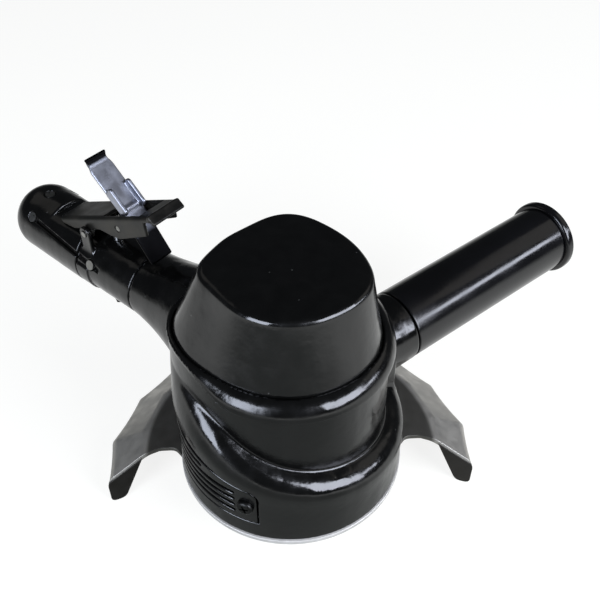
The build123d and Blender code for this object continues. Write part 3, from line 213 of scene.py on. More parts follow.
# Screws of the flank and the top: distance along the handle, radius there and angle over the level
NEAR_SCREW = (121.5, 17.5, 22.5)
FAR_SCREW = (170.0, 18.4, 40.7)
TOP_SCREW = (171.0, 18.4, 90.0)
SCREW_R = 2.6
SCREW_GAP = 0.3
SCREW_SEAT = 3.5
GROOVE_R = 1.0
GROOVE_SINK = 0.4
GROOVE_RUN_IN = 6.0
GROOVE_EDGE = 0.9
STEM_S = 116.0
STEM_HOLE_R = 2.6
SPRING_R = 4.2
SPRING_WIRE_R = 0.5
SPRING_TURNS = 3
SPRING_ROWS = 120
SPRING_COLUMNS = 12
PANEL_S = 123.0
PANEL_RISE = 0.8
PANEL_RAMP = 0.7
PANEL_TOP = 5.0
PANEL_FADE = 2.0
CHEEK = (10.5, 12.9)
CHEEK_R = 3.8
CHEEK_H = 13.0
CHEEK_EDGE = 0.9
CHEEK_FILLET = 1.6
CHEEK_HOLE_IN = 1.0
CHEEK_HOLE_EDGE = 0.3
# Flat under the lever's tail: where it ends, its height over the axis and half its width
TAIL_FLAT = (157.5, 16.45, 13.2)
TAIL_FLAT_EDGE = 1.6

# Throttle lever and lock lever, in the lever's side view: X outward, Y up, origin at the pivot
LEVER_S = 126.0
LEVER_Z = 82.8
LEVER_SLOPE = 27.0
LEVER_T = 1.8
LEVER_TOP = 8.0
LEVER_W = 20.4
LEVER_TAIL = 25.5
LEVER_TAIL_CORNER = 4.5
LEVER_FREE = 62.0
LEVER_FLAT_END = 2.4
LEVER_BEND = 3.0
LEVER_EDGE = 0.7
LEVER_EAR_R = 3.4
LEVER_FLANGE = (
    (25.5, 9.0), (25.5, 6.2), (13.0, 1.6), (-12.0, 1.0), (-20.5, -2.4), (-27.0, -4.2), (-52.0, -2.2),
    (-54.6, 5.0), (-62.5, 5.0), (-62.5, 9.0),
)
# Lip: distance from the free end and drop from the top, at its start and its end
LEVER_LIP = ((2.6, 0.9), (0.8, 4.2))
LEVER_LIP_INSET = 0.5
LEVER_LIP_FILLET = 0.9
LEVER_SLOT = (-50.5, -19.0)
LEVER_SLOT_HALF_W = 7.7
LEVER_SLOT_FLOOR = 4.0
LEVER_SLOT_EDGE = 0.8
LOCK_W = 13.0
LOCK_T = 1.8
LOCK_PIVOT = (-29.1, 1.7)
LOCK_LINE = ((-22.6, 35.8), (-22.1, 33.4), (-32.5, 8.5), (-34.0, 0.8), (-38.3, -19.5))
LOCK_BEND = 1.6
LOCK_EDGE = 0.8
LOCK_TIP_INSET = 1.6
LOCK_TIP_L = 5.0
LOCK_EAR = ((-32.88, 7.58), (-28.64, 17.73), (-31.41, 18.89), (-35.65, 8.73))
LOCK_EAR_R = 2.0
LOCK_EAR_EDGE = 0.7
LOCK_EAR_FILLET = 1.2
LOCK_EYE_R = 3.4
LOCK_EYE_TO = 0.5
LOCK_EYE_EDGE = 0.6
LOCK_EYE_FILLET = 0.8
# Heights over which painted shade fades out above the foot and comes in again at the lip
LOCK_FOOT_SHADE_FADE = (94.0, 106.0)
LOCK_LIP_SHADE_FADE = (121.5, 123.5)
PIN_R = 1.6
PIN_GAP = 0.1
PIN_HOLE_EDGE = 0.4
PIN_SET_BACK = 0.5
# Dish in the pin's end: radius and depth at its middle and near its rim
PIN_DISH = ((0.2, 0.3), (PIN_R - 0.4, 0.1))
PIN_EDGE = 0.2
PIN_COLUMNS = 32

# Wheel guard sheet
GUARD_T = 2.5
GUARD_RING = (46.0, 55.6)
# The ring's profile is joined under it, this far out from its bore
GUARD_RING_SEAM = (2.0, 1.9)
GUARD_RING_COLUMNS = 160
GUARD_RING_LAP = 0.1
GUARD_PLATE_R = 75.5
# The darker plate fades out between these distances inside the fold
GUARD_DARK_PLATE = (3.0, 1.0)
GUARD_RIM_R = 96.0
GUARD_RIM_Z = -13.5
GUARD_END_RISE = 4.0
GUARD_LIP_Z = -27.0
GUARD_LIP_GAP = 0.05
GUARD_BEND_R = 3.0
GUARD_BEND_STEPS = 6
GUARD_TURN = 3.5
GUARD_FOLD = 20.0
GUARD_FOLD_IN = 8.0
GUARD_LEVEL_FOLDS = 3
GUARD_END = (66.0, 1.5)
GUARD_FLARE = 0.36
GUARD_NOTCH = 5.0
GUARD_SAG = 0.9
GUARD_ROW = 1.6
GUARD_COLUMNS = 401
# Outline of a tab: distance along the cut from its inner corner, and height
GUARD_TAB = ((10.5, -0.2), (30.2, -11.2), (30.2, -27.0), (22.5, -27.0))
GUARD_TAB_CORNER = 3.2
GUARD_TAB_PROUD = 0.7
SHEET_EDGE = 0.35
EDGE_STEPS = 4

# Screw threads: radius at root and crest, start and end along the axis, and pitch
NOSE_THREAD = (7.9, 8.35, 0.4, 17.4, 2.309)
INLET_THREAD = (7.32, 6.75, 172.0, 188.8, 1.411)
THREAD_COLUMNS = 48
THREAD_ROWS = 8
THREAD_FLAT = 0.2

# How the meshes are worked out. CREASE: degrees over which an edge stays sharp.
SLIDES = 4
SLIDE_PROBE = 0.02
NORMAL_PROBE = 0.05
LEAST_SLOPE = 0.05
ARC_SHARE = 0.45
ARC_STEPS = 5
ARC_SUPPORT = 0.12
TURNED_COLUMNS = 96
CREASE = 40
HANDLE_CREASE = 50
BEVEL_CREASE = 60

# Floor, light and camera, in metres, watts and degrees
FLOOR_REACH = 6.0
FLOOR_Z = GUARD_LIP_Z * MM
FLOOR_DIM_AT = (-0.06, -0.25, FLOOR_Z)
# Brightness that a shine sees: two distances from the dim place, and the value at each
FLOOR_NEAR = (0.18, 0.38, 0.0, 0.7)
FLOOR_FAR = (0.5, 0.9, 1.0, 0.25)
FLOOR_LIFT = 0.84
ROOM_LIGHT = 0.14
# Lamps: name, place, point faced, width and height, power and colour
LAMPS = (
    ("left window", (-0.66, -0.78, 0.5), (-0.02, -0.02, 0.07), (0.46, 0.8), 13.0, "#e6eeff"),
    ("right window", (0.86, -0.61, 0.63), (0.0, -0.02, 0.07), (0.76, 0.7), 20.0, "#ecf1ff"),
    ("side window", (0.99, -0.1, 0.45), (0.09, 0.07, 0.05), (0.32, 0.14), 1.7, "#ecf1ff"),
    ("back right", (1.3, 0.5, 1.2), (0.0, 0.0, 0.05), (1.0, 0.7), 1.0, "#fffaf2"),
    ("back left", (-1.1, 0.8, 1.3), (0.0, 0.0, 0.05), (1.0, 0.7), 0.5, "#fffaf2"),
)
CAMERA_PLACE = (0.0046, -0.2619, 0.3581)
CAMERA_TILT = 46.0
CAMERA_LENS = 51.0
CAMERA_FRAME = 36.0
CAMERA_NEAR = 0.01


def direction(azimuth):
    """Level unit vector at an azimuth in degrees."""
    turn = np.radians(azimuth)
    return np.array([np.cos(turn), np.sin(turn), 0.0])


def handle_axes(azimuth):
    """Rows: outward along a handle, level across it, and up."""
    return np.array([direction(azimuth), direction(azimuth + 90), UP])


def lever_axes():
    """Rows: along the lever outward, square to it upward, and across it."""
    out = direction(THROTTLE_AZ)
    slope = np.radians(LEVER_SLOPE)
    along = out * np.cos(slope) - UP * np.sin(slope)
    upward = out * np.sin(slope) + UP * np.cos(slope)
    return np.array([along, upward, np.cross(along, upward)])


THROTTLE_AXES = handle_axes(THROTTLE_AZ)
DEAD_AXES = handle_axes(DEAD_AZ)
LEVER_AXES = lever_axes()
LEVER_ORIGIN = direction(THROTTLE_AZ) * LEVER_S + UP * LEVER_Z
COVER_X = [SKIRT_R * direction(azimuth)[0] for azimuth in COVER_AZ]


# Forms: a form is negative inside a shape, zero on its surface and positive outside, in millimetres

def meld(a, b, k):
    """Union of two forms: the smaller one, with a fillet about k wide where they meet."""
    share = np.clip(0.5 + 0.5 * (b - a) / k, 0, 1)
    return b + (a - b) * share - k * share * (1 - share)


def both(a, b, k):
    """Overlap of two forms: the larger one, with the edge rounded over about k."""
    return -meld(-a, -b, k)


def carve(a, b, k):
    """Form a with form b taken out of it, the edge rounded over about k."""
    return both(a, -b, k)


def span(value, low, high):
    """Slab between two levels of a coordinate."""
    return np.maximum(low - value, value - high)


def ramp(value, low, high):
    """Straight rise from 0 at a low value to 1 at a high one, level outside them."""
    return np.clip((value - low) / (high - low), 0, 1)


def quadratic(terms, u):
    """Constant, slope times u and bend times u squared, added up."""
    return terms[0] + terms[1] * u + terms[2] * u ** 2


def rounded(a, b, radius):
    """Overlap of two square half spaces with their edge rounded to a radius."""
    corner = np.hypot(np.maximum(a + radius, 0), np.maximum(b + radius, 0))
    return np.minimum(np.maximum(a, b), -radius) + corner


def oval(a, b, half_a, half_b):
    """Ellipse: scaled radius less one, divided by its own slope so that it reads as a distance."""
    scaled = np.hypot(a / half_a, b / half_b)
    slope = np.hypot(a / half_a ** 2, b / half_b ** 2)
    return (scaled - 1) * scaled / (slope + NEVER_ZERO)


def segment(x, y, start, end):
    """Distance in a plane from a straight piece of line."""
    dx = end[0] - start[0]
    dy = end[1] - start[1]
    share = np.clip(((x - start[0]) * dx + (y - start[1]) * dy) / (dx * dx + dy * dy), 0, 1)
    return np.hypot(x - start[0] - share * dx, y - start[1] - share * dy)


def polygon(x, y, corners):
    """Closed outline in a plane: distance to its nearest side, negative where a ray crosses it oddly."""
    distance = np.full(np.shape(x), np.inf)
    inside = np.zeros(np.shape(x), bool)
    for start, end in zip(corners, corners[1:] + corners[:1]):
        distance = np.minimum(distance, segment(x, y, start, end))
        if start[1] != end[1]:
            cross_x = start[0] + (y - start[1]) * (end[0] - start[0]) / (end[1] - start[1])
            inside ^= ((start[1] > y) != (end[1] > y)) & (x < cross_x)
    return np.where(inside, -distance, distance)


def above_line(p, start, end):
    """Half space under a sloping line in front view: height over the line through two points (x, z), square
    to it."""
    fall = np.array([start[1] - end[1], end[0] - start[0]])
    fall /= np.hypot(*fall)
    return (p[..., 0] - start[0]) * fall[0] + (p[..., 2] - start[1]) * fall[1]


def swell(azimuth, middle, width):
    """Bell curve of the angle from an azimuth."""
    off = (azimuth - middle + 180) % 360 - 180
    return np.exp(-((off / width) ** 2))


def along_handle(p, axes, height):
    """Distance out along a handle, distance across it and height over its axis."""
    return p @ axes[0], p @ axes[1], p[..., 2] - height


def cap_radius(azimuth, share):
    """Radius of the upper housing: a taper from foot to top with a bell-shaped swell at each soft corner,
    held inside the rim of the middle wall."""
    radius = CAP_FOOT_R + share * (CAP_TOP_R - CAP_FOOT_R)
    for corner, foot, top, foot_width, top_width in CAP_CORNERS:
        width = foot_width + np.clip(share, 0, 1) * (top_width - foot_width)
        radius = radius + (foot + share * (top - foot)) * swell(azimuth, corner, width)
    rim = MID_R + SWELL_RISE * swell(azimuth, SWELL_AZ, SWELL_WIDTH)
    return meld(radius, rim - CAP_INSET, CAP_INSET_FILLET)


def skirt_form(r, side, z, grown):
    """Skirt: upright wall under a quarter-ellipse shoulder. The crest is a cubic in the azimuth's cosine
    that levels off, the shoulder is shallow where the middle wall has grown, and the wall swells a little,
    as a bell curve of the height, where the shoulder runs out into it."""
    crest = SCROLL_Z - SCROLL_RISE * side + SCROLL_BOW * side ** 2 - SCROLL_TWIST * side ** 3
    crest = meld(crest, SCROLL_TOP, SCROLL_LEVELLING)
    height = SHOULDER_LOW + ((1 - side) / 2) ** 3 * SHOULDER_GAIN
    depth = SHOULDER_DEPTH * (1 - SHOULDER_FADE * grown)
    under = z - crest + height
    bulge = SKIRT_BULGE * np.exp(-((under / SKIRT_BULGE_H) ** 2))
    out = np.maximum(r - SKIRT_R + depth - bulge, 0)
    rise = np.maximum(under, 0)
    shoulder = oval(out, rise, depth, height)
    shoulder = np.where(out + rise > TINY, shoulder, -SHOULDER_DEPTH)
    return both(shoulder, SKIRT_FOOT - z, SKIRT_EDGE)


def mid_form(r, z, grown, azimuth):
    """Middle wall: a tapered drum under a bead, round above and turned in sharply below, that stands a
    little proud of it. Towards the throttle handle the drum grows and the bead closes up, by a smooth step
    of the azimuth, to a narrow rim."""
    off = np.abs((azimuth - SWELL_AZ + 180) % 360 - 180)
    shut = np.clip((BEAD_END_AZ - off) / BEAD_END_SPAN, 0, 1)
    shut = shut * shut * (3 - 2 * shut)
    bead_r = BEAD_R + (RIM_R - BEAD_R) * shut
    bead_z = BEAD_TOP + RIM_RISE * grown - bead_r
    top_r = MID_R + SWELL_RISE * grown
    wall_r = top_r + MID_FLARE * (1 - grown) * np.clip((bead_z - z) / (bead_z - MID_FOOT), 0, 1)
    drum = np.maximum(r - wall_r, span(z, MID_FOOT, bead_z))
    out = np.maximum(r - top_r - BEAD_PROUD * (1 - shut) + bead_r, 0)
    rise = z - bead_z
    bead = oval(out, rise, bead_r, np.where(rise > 0, bead_r, np.minimum(bead_r, BEAD_UNDER)))
    bead = np.where(out + np.abs(rise) > TINY, bead, -bead_r)
    return meld(drum, bead, BEAD_FILLET)


def root_form(p):
    """Flared root of the throttle handle: ellipses whose height and half axes are quadratics of the
    distance from the root's middle, as a share of half its length."""
    s, t, z = along_handle(p, THROTTLE_AXES, 0)
    half = (ROOT[1] - ROOT[0]) / 2
    u = np.clip((s - ROOT[0] - half) / half, -ROOT_RUN_IN, 1)
    sleeve = oval(t, z - quadratic(ROOT_Z, u), quadratic(ROOT_HALF_W, u), quadratic(ROOT_HALF_H, u))
    return both(sleeve, span(s, *ROOT), ROOT_EDGE)


def pad_form(p):
    """Seat of the dead handle: a round boss with straight sides below, cut flat where the collar seats."""
    s, t, h = along_handle(p, DEAD_AXES, DEAD_Z)
    boss = np.hypot(t, np.maximum(h, 0)) - PAD_R
    return both(np.maximum(boss, -PAD_DROP - h), span(s, BORE_R + PAD_BACK, PAD_FACE), PAD_EDGE)


def cover_top(p):
    """Half space under the louvre cover's sloping top edge."""
    return above_line(p, *zip(COVER_X, COVER_TOP))


def cover_left(p):
    """Half space to the right of the louvre cover's left edge."""
    return p @ direction(COVER_AZ[0] - 90)


def cover_outline(p):
    """Louvre cover in front view: foot, left edge, sloping top and right edge with a rounded corner."""
    right = rounded(p[..., 0] - COVER_X[1], cover_top(p), COVER_CORNER)
    return np.maximum(right, np.maximum(COVER_FOOT - p[..., 2], cover_left(p)))


def vent_form(p, r):
    """Wedge-shaped slot over the cover's top edge, open at the left and closing to a tip."""
    tip_x = SKIRT_R * direction(VENT_TIP_AZ)[0]
    tip_z = np.interp(tip_x, COVER_X, COVER_TOP)
    lid = above_line(p, (COVER_X[0], VENT_TOP), (tip_x, tip_z))
    slot = np.maximum(np.maximum(-cover_top(p) - COVER_GROOVE, lid), cover_left(p))
    return np.maximum(np.maximum(slot, SKIRT_R - VENT_DEPTH - r), p[..., 1])


def housing_form(p):
    """Motor housing: drum, rising skirt, throttle root and pad run together, then bored and recessed."""
    x, y, z = p[..., 0], p[..., 1], p[..., 2]
    r = np.hypot(x, y)
    azimuth = np.degrees(np.arctan2(y, x))
    grown = swell(azimuth, SWELL_AZ, SWELL_WIDTH)
    skirt = skirt_form(r, x / np.maximum(r, TINY), z, grown)
    body = meld(mid_form(r, z, grown, azimuth), skirt, SKIRT_FILLET)
    body = meld(body, root_form(p), ROOT_FILLET)
    body = meld(body, pad_form(p), PAD_FILLET)
    cap = r - cap_radius(azimuth, (z - CAP_Z) / CAP_H) - LEDGE_GAP
    body = carve(body, np.maximum(cap, LEDGE_Z - z), LEDGE_EDGE)
    body = np.maximum(body, BORE_R - r)
    body = carve(body, np.maximum(r - ARBOR_R, z - MID_FOOT), ARBOR_EDGE)
    body = np.maximum(body, -np.maximum(span(r, *CHAMBER_R), span(z, *CHAMBER_Z)))
    outline = cover_outline(p)
    seat = np.maximum(np.maximum(outline - COVER_GROOVE, y), SKIRT_R - COVER_T - COVER_GAP - r)
    body = carve(body, seat, COVER_SEAT_EDGE)
    window = np.maximum(outline + COVER_LAP, np.maximum(CHAMBER_R[0] - r, y))
    body = np.maximum(body, -window)
    body = carve(body, vent_form(p, r), COVER_SEAT_EDGE)
    s, t, h = along_handle(p, THROTTLE_AXES, THROTTLE_Z)
    socket = np.maximum(np.hypot(t, h) - SPIGOT_R - SPIGOT_GAP, SPIGOT[0] - SPIGOT_END_GAP - s)
    body = np.maximum(body, -socket)
    s, t, h = along_handle(p, DEAD_AXES, DEAD_Z)
    body = np.maximum(body, -np.maximum(np.hypot(t, h) - STUD_R, STUD_FROM - s))
    return carve(body, np.maximum(np.hypot(t, h) - COLLAR_R - COLLAR_GAP, PAD_FACE - s), COLLAR_SEAT_EDGE)


def louvre_form(p):
    """Louvre cover: a curved plate with level slots, the upper ones shorter."""
    r = np.hypot(p[..., 0], p[..., 1])
    azimuth = np.degrees(np.arctan2(p[..., 1], p[..., 0])) % 360
    plate = both(cover_outline(p), span(r, SKIRT_R - COVER_T, SKIRT_R), LOUVRE_EDGE)
    for i in range(LOUVRES):
        z = LOUVRE_FOOT + i * LOUVRE_PITCH
        to_azimuth = LOUVRE_AZ[1] if z + LOUVRE_W < COVER_TOP[1] else LOUVRE_SHORT_AZ
        middle = (LOUVRE_AZ[0] + to_azimuth) / 2
        half = np.radians(to_azimuth - LOUVRE_AZ[0]) / 2 * SKIRT_R - LOUVRE_W / 2
        arc = np.radians(azimuth - middle) * SKIRT_R
        slot = np.hypot(np.maximum(np.abs(arc) - half, 0), p[..., 2] - z) - LOUVRE_W / 2
        plate = carve(plate, slot, LOUVRE_EDGE)
    return plate


def flank_cuts(p, body):
    """Handle piece with the straight groove along each flank and the seats of its screws cut in. A screw is
    given by its distance along the handle, the radius there and its angle over the level."""
    s, t, h = along_handle(p, THROTTLE_AXES, THROTTLE_Z)
    place = np.stack([np.abs(t), h, s], -1)
    ends = []
    for reach, radius, rise in (NEAR_SCREW, FAR_SCREW):
        turn = np.radians(rise)
        ends.append(np.array([radius * np.cos(turn), radius * np.sin(turn), reach]))
    along = ends[1] - ends[0]
    length = np.linalg.norm(along)
    along /= length
    mean = np.radians((NEAR_SCREW[2] + FAR_SCREW[2]) / 2)
    out = np.array([np.cos(mean), np.sin(mean), 0])
    out -= along * (out @ along)
    out /= np.linalg.norm(out)
    off = place - ends[0]
    across = np.hypot(off @ np.cross(along, out), np.minimum(off @ out + GROOVE_SINK, 0))
    groove = np.maximum(across - GROOVE_R, span(off @ along, -GROOVE_RUN_IN, length))
    body = carve(body, groove, GROOVE_EDGE)
    for reach, radius, rise in (NEAR_SCREW, FAR_SCREW, TOP_SCREW):
        turn = np.radians(rise)
        depth = place[..., 0] * np.cos(turn) + h * np.sin(turn)
        away = np.hypot(s - reach, h * np.cos(turn) - place[..., 0] * np.sin(turn))
        seat = np.maximum(away - SCREW_R - SCREW_GAP, radius - SCREW_SEAT - depth)
        body = carve(body, seat, HOLE_EDGE)
    return body


def handle_form(p):
    """Throttle handle: a round grip with a spigot, a raised panel under the flank groove at its end, and
    two rounded cheeks that hold the lever's pin."""
    s, t, h = along_handle(p, THROTTLE_AXES, THROTTLE_Z)
    r = np.hypot(t, h)
    panel = ramp(s, PANEL_S - PANEL_RAMP / 2, PANEL_S + PANEL_RAMP / 2)
    panel = panel * np.clip((PANEL_TOP - h) / PANEL_FADE, 0, 1)
    grip = both(r - HANDLE_R - PANEL_RISE * panel, span(s, *HANDLE), HANDLE_EDGE)
    pivot_h = LEVER_Z - THROTTLE_Z
    cheek = np.hypot(s - LEVER_S, np.maximum(h - pivot_h, 0)) - CHEEK_R
    cheek = both(np.maximum(cheek, pivot_h - CHEEK_H - h), span(np.abs(t), *CHEEK), CHEEK_EDGE)
    body = meld(grip, cheek, CHEEK_FILLET)
    body = np.minimum(body, np.maximum(r - SPIGOT_R, span(s, *SPIGOT)))
    body = carve(body, np.maximum(np.hypot(s - STEM_S, t) - STEM_HOLE_R, -h), HOLE_EDGE)
    pin = np.maximum(np.hypot(s - LEVER_S, h - pivot_h) - PIN_R, CHEEK[0] - CHEEK_HOLE_IN - np.abs(t))
    return flank_cuts(p, carve(body, pin, CHEEK_HOLE_EDGE))


def end_form(p):
    """End housing: a round bar with a domed nose that lifts slightly, the inlet's bore and a flat under the
    lever's tail."""
    s, t, h = along_handle(p, THROTTLE_AXES, THROTTLE_Z)
    r = np.hypot(t, h - NOSE_LIFT * ramp(s, *NOSE_LIFT_S))
    past = np.maximum(s - END_ROUND_S, 0)
    nose = np.where(past > 0, np.hypot(r - END_R + END_ARC_R, past) - END_ARC_R, r - END_R)
    nose = np.where(r < END_R - END_ARC_R, np.minimum(nose, r - END_R), nose)
    body = both(nose, span(s, *END), END_EDGE)
    flat_s, flat_h, flat_t = TAIL_FLAT
    flat = np.maximum(np.maximum(flat_h - h, np.abs(t) - flat_t), s - flat_s)
    body = carve(body, flat, TAIL_FLAT_EDGE)
    body = carve(body, np.maximum(np.hypot(t, h) - INLET_R, INLET_FROM - s), HOLE_EDGE)
    return flank_cuts(p, body)


def lever_form(p):
    """Throttle lever: a pressed channel with rounded bends, a slot and a sloping lip at its free end."""
    x, y, z = p[..., 0], p[..., 1], np.abs(p[..., 2])
    out = rounded(z - LEVER_W / 2, y - LEVER_TOP, LEVER_BEND)
    sheet = np.maximum(out, -out - LEVER_T)
    flange = np.minimum(polygon(x, y, LEVER_FLANGE), np.hypot(x, y) - LEVER_EAR_R)
    tail = rounded(z - LEVER_W / 2, x - LEVER_TAIL, LEVER_TAIL_CORNER)
    length = np.maximum(tail, LEVER_FLAT_END - LEVER_FREE - x)
    channel = both(both(sheet, flange, LEVER_EDGE), length, LEVER_EDGE)
    lip_ends = [(back - LEVER_FREE, LEVER_TOP - drop) for back, drop in LEVER_LIP]
    lip = segment(x, y, *lip_ends) - LEVER_T / 2
    lip = both(lip, z - LEVER_W / 2 + LEVER_LIP_INSET, LEVER_EDGE)
    channel = meld(channel, lip, LEVER_LIP_FILLET)
    slot = np.maximum(span(x, *LEVER_SLOT), np.maximum(z - LEVER_SLOT_HALF_W, LEVER_SLOT_FLOOR - y))
    channel = carve(channel, slot, LEVER_SLOT_EDGE)
    for spot in ((0.0, 0.0), LOCK_PIVOT):
        channel = carve(channel, np.hypot(x - spot[0], y - spot[1]) - PIN_R - PIN_GAP, PIN_HOLE_EDGE)
    return channel


def lock_form(p):
    """Lock lever: a bent strip with a lipped tongue, an ear folded in from each edge, a foot and an eye."""
    x, y, z = p[..., 0], p[..., 1], p[..., 2]
    half = LOCK_W / 2
    strip = segment(x, y, LOCK_LINE[0], LOCK_LINE[1]) - LOCK_T / 2
    for start, end in zip(LOCK_LINE[1:], LOCK_LINE[2:]):
        strip = meld(strip, segment(x, y, start, end) - LOCK_T / 2, LOCK_BEND)
    from_tip = np.hypot(LOCK_LINE[1][0] - x, LOCK_LINE[1][1] - y)
    inset = LOCK_TIP_INSET * np.clip(1 - from_tip / LOCK_TIP_L, 0, 1) ** 2
    strip = both(strip, np.abs(z) - half + inset, LOCK_EDGE)
    ear = np.minimum(polygon(x, y, LOCK_EAR), segment(x, y, LOCK_EAR[2], LOCK_EAR[3]) - LOCK_EAR_R)
    ear = both(ear, span(np.abs(z), half - LOCK_T, half), LOCK_EAR_EDGE)
    strip = meld(strip, ear, LOCK_EAR_FILLET)
    off_pivot = np.hypot(x - LOCK_PIVOT[0], y - LOCK_PIVOT[1])
    eye = np.minimum(off_pivot - LOCK_EYE_R, polygon(x, y, (LOCK_PIVOT, LOCK_LINE[2], LOCK_LINE[3])))
    eye = both(eye, span(z, -half, LOCK_EYE_TO), LOCK_EYE_EDGE)
    body = meld(strip, eye, LOCK_EYE_FILLET)
    return carve(body, off_pivot - PIN_R - PIN_GAP, PIN_HOLE_EDGE)


# Meshes

CUBE = np.array([[i, j, k] for i in (0, 1) for j in (0, 1) for k in (0, 1)])
CUBE_EDGES = [(a, b) for a in range(8) for b in range(a + 1, 8) if np.abs(CUBE[a] - CUBE[b]).sum() == 1]


def slope_of(form, points, step):
    """Gradient of a form by central differences."""
    slope = np.empty_like(points)
    for axis in range(3):
        shift = np.zeros(3)
        shift[axis] = step
        slope[:, axis] = (form(points + shift) - form(points - shift)) / (2 * step)
    return slope


def cast(form, low, high, step):
    """Surface where a form is zero, on a grid of cubes: each cube that the surface crosses gets one point,
    the mean of its edge crossings, four cubes round a crossed grid edge make a quad, and the points are
    slid along the form's gradient until they lie on the surface. Returns points, quads and normals."""
    axes = [np.arange(lo, hi + step, step) for lo, hi in zip(low, high)]
    value = form(np.stack(np.meshgrid(*axes, indexing="ij"), -1))
    inside = value < 0
    shape = np.array(value.shape) - 1
    count = np.zeros(shape, np.int8)
    for corner in CUBE:
        count += inside[tuple(slice(c, c + n) for c, n in zip(corner, shape))]
    cells = np.argwhere((count > 0) & (count < len(CUBE)))
    number = np.full(shape, -1)
    number[tuple(cells.T)] = np.arange(len(cells))
    total = np.zeros((len(cells), 3))
    crossings = np.zeros(len(cells))
    for a, b in CUBE_EDGES:
        at_a = value[tuple((cells + CUBE[a]).T)]
        at_b = value[tuple((cells + CUBE[b]).T)]
        crossed = (at_a < 0) != (at_b < 0)
        share = np.where(crossed, at_a / np.where(crossed, at_a - at_b, 1), 0)
        total += crossed[:, None] * (CUBE[a] + share[:, None] * (CUBE[b] - CUBE[a]))
        crossings += crossed
    points = (cells + total / crossings[:, None]) * step + np.array(low)
    quads = []
    for axis in range(3):
        ahead = [slice(None)] * 3
        behind = [slice(None)] * 3
        ahead[axis] = slice(1, None)
        behind[axis] = slice(None, -1)
        edges = np.argwhere(inside[tuple(ahead)] != inside[tuple(behind)])
        u, v = np.eye(3, dtype=int)[[(axis + 1) % 3, (axis + 2) % 3]]
        ring = [number[tuple((edges - shift).T)] for shift in (0 * u, u, u + v, v)]
        ring = np.stack(ring, -1)
        leaving = inside[tuple(edges.T)]
        quads.append(np.where(leaving[:, None], ring, ring[:, ::-1]))
    for _ in range(SLIDES):
        slope = slope_of(form, points, SLIDE_PROBE)
        move = form(points) / np.maximum((slope ** 2).sum(1), LEAST_SLOPE)
        points -= np.clip(move[:, None] * slope, -step / 2, step / 2)
    normals = slope_of(form, points, NORMAL_PROBE)
    normals /= np.linalg.norm(normals, axis=1)[:, None] + NEVER_ZERO
    return points, np.concatenate(quads), normals


def piece(name, points, faces, body, node=None, slot=None, paint=None, normals=None, sharp=None):
    """Object of one mesh, in place, riding on its body if it has just one. It hides the part of the node it
    stands for, if any. Its finish is that of the node's slot or the slot given, unless another is named."""
    slot = slot or SLOT_OF[node]
    mesh = bpy.data.meshes.new(name)
    mesh.from_pydata((points * MM).tolist(), [], faces if isinstance(faces, list) else faces.tolist())
    mesh.polygons.foreach_set("use_smooth", np.ones(len(mesh.polygons), bool))
    if sharp is not None:
        mesh.set_sharp_from_angle(angle=np.radians(sharp))
    if normals is not None:
        mesh.normals_split_custom_set_from_vertices(normals.tolist())
    mesh.materials.append(FINISHES[paint or slot])
    made = bpy.data.objects.new(name, mesh)
    bpy.context.scene.collection.objects.link(made)
    if body:
        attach(made, body)
    if node:
        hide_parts(node)
    return made


def eased(made):
    """Rounds the sharp edges of a sheet piece over a small width."""
    edge = made.modifiers.new("edge", "BEVEL")
    edge.width = SHEET_EDGE * MM
    edge.segments = 2
    edge.limit_method = "ANGLE"
    edge.angle_limit = np.radians(BEVEL_CREASE)


def tube_faces(rows, columns, looped=False):
    """Quads of a grid that closes round its columns, and from its last row to its first if looped."""
    i, j = np.meshgrid(np.arange(rows if looped else rows - 1), np.arange(columns), indexing="ij")
    across = (j + 1) % columns
    onward = (i + 1) % rows
    quads = [i * columns + j, i * columns + across, onward * columns + across, onward * columns + j]
    return np.stack(quads, -1).reshape(-1, 4)


def capped_tube(rows, columns):
    """Quads of such a grid with one face over its first row and one over its last."""
    first = list(range(columns))[::-1]
    last = list(range((rows - 1) * columns, rows * columns))
    return tube_faces(rows, columns).tolist() + [first, last]


def softened(corners, radius, steps=ARC_STEPS):
    """Open profile with each inner corner rounded: an arc, as a quadratic from side to side, with a support
    point just before and after it."""
    corners = np.asarray(corners, float)
    points = [corners[:1]]
    for before, corner, after in zip(corners, corners[1:], corners[2:]):
        come = before - corner
        leave = after - corner
        reach = min(radius, ARC_SHARE * np.hypot(*come), ARC_SHARE * np.hypot(*leave))
        come /= np.hypot(*come)
        leave /= np.hypot(*leave)
        start = corner + come * reach
        end = corner + leave * reach
        u = np.linspace(0, 1, steps)[:, None]
        arc = (1 - u) ** 2 * start + 2 * u * (1 - u) * corner + u ** 2 * end
        points += [start[None] + come * ARC_SUPPORT, arc, end[None] + leave * ARC_SUPPORT]
    points.append(corners[-1:])
    return np.concatenate(points)


def turned(profile, origin, axes, columns=TURNED_COLUMNS, looped=False):
    """Surface of revolution: a profile of (radius, distance) carried round an axis. The profile is a loop,
    or else the rings at its ends are capped."""
    angle = np.linspace(0, 2 * np.pi, columns, endpoint=False)
    rim = np.cos(angle)[:, None] * axes[1] + np.sin(angle)[:, None] * axes[2]
    points = (profile[:, :1, None] * rim[None] + profile[:, 1:, None] * axes[0] + origin).reshape(-1, 3)
    rows = len(profile)
    faces = tube_faces(rows, columns, True) if looped else capped_tube(rows, columns)
    return points, faces


# Materials. The inputs of a MapRange are, in order: value, low and high before, low and high after.

def linear(code):
    """sRGB hex colour as linear RGBA."""
    shade = np.array([int(code[i:i + 2], 16) for i in (1, 3, 5)]) / 255
    shade = np.where(shade <= 0.04045, shade / 12.92, ((shade + 0.055) / 1.055) ** 2.4)
    return (*shade.tolist(), 1.0)


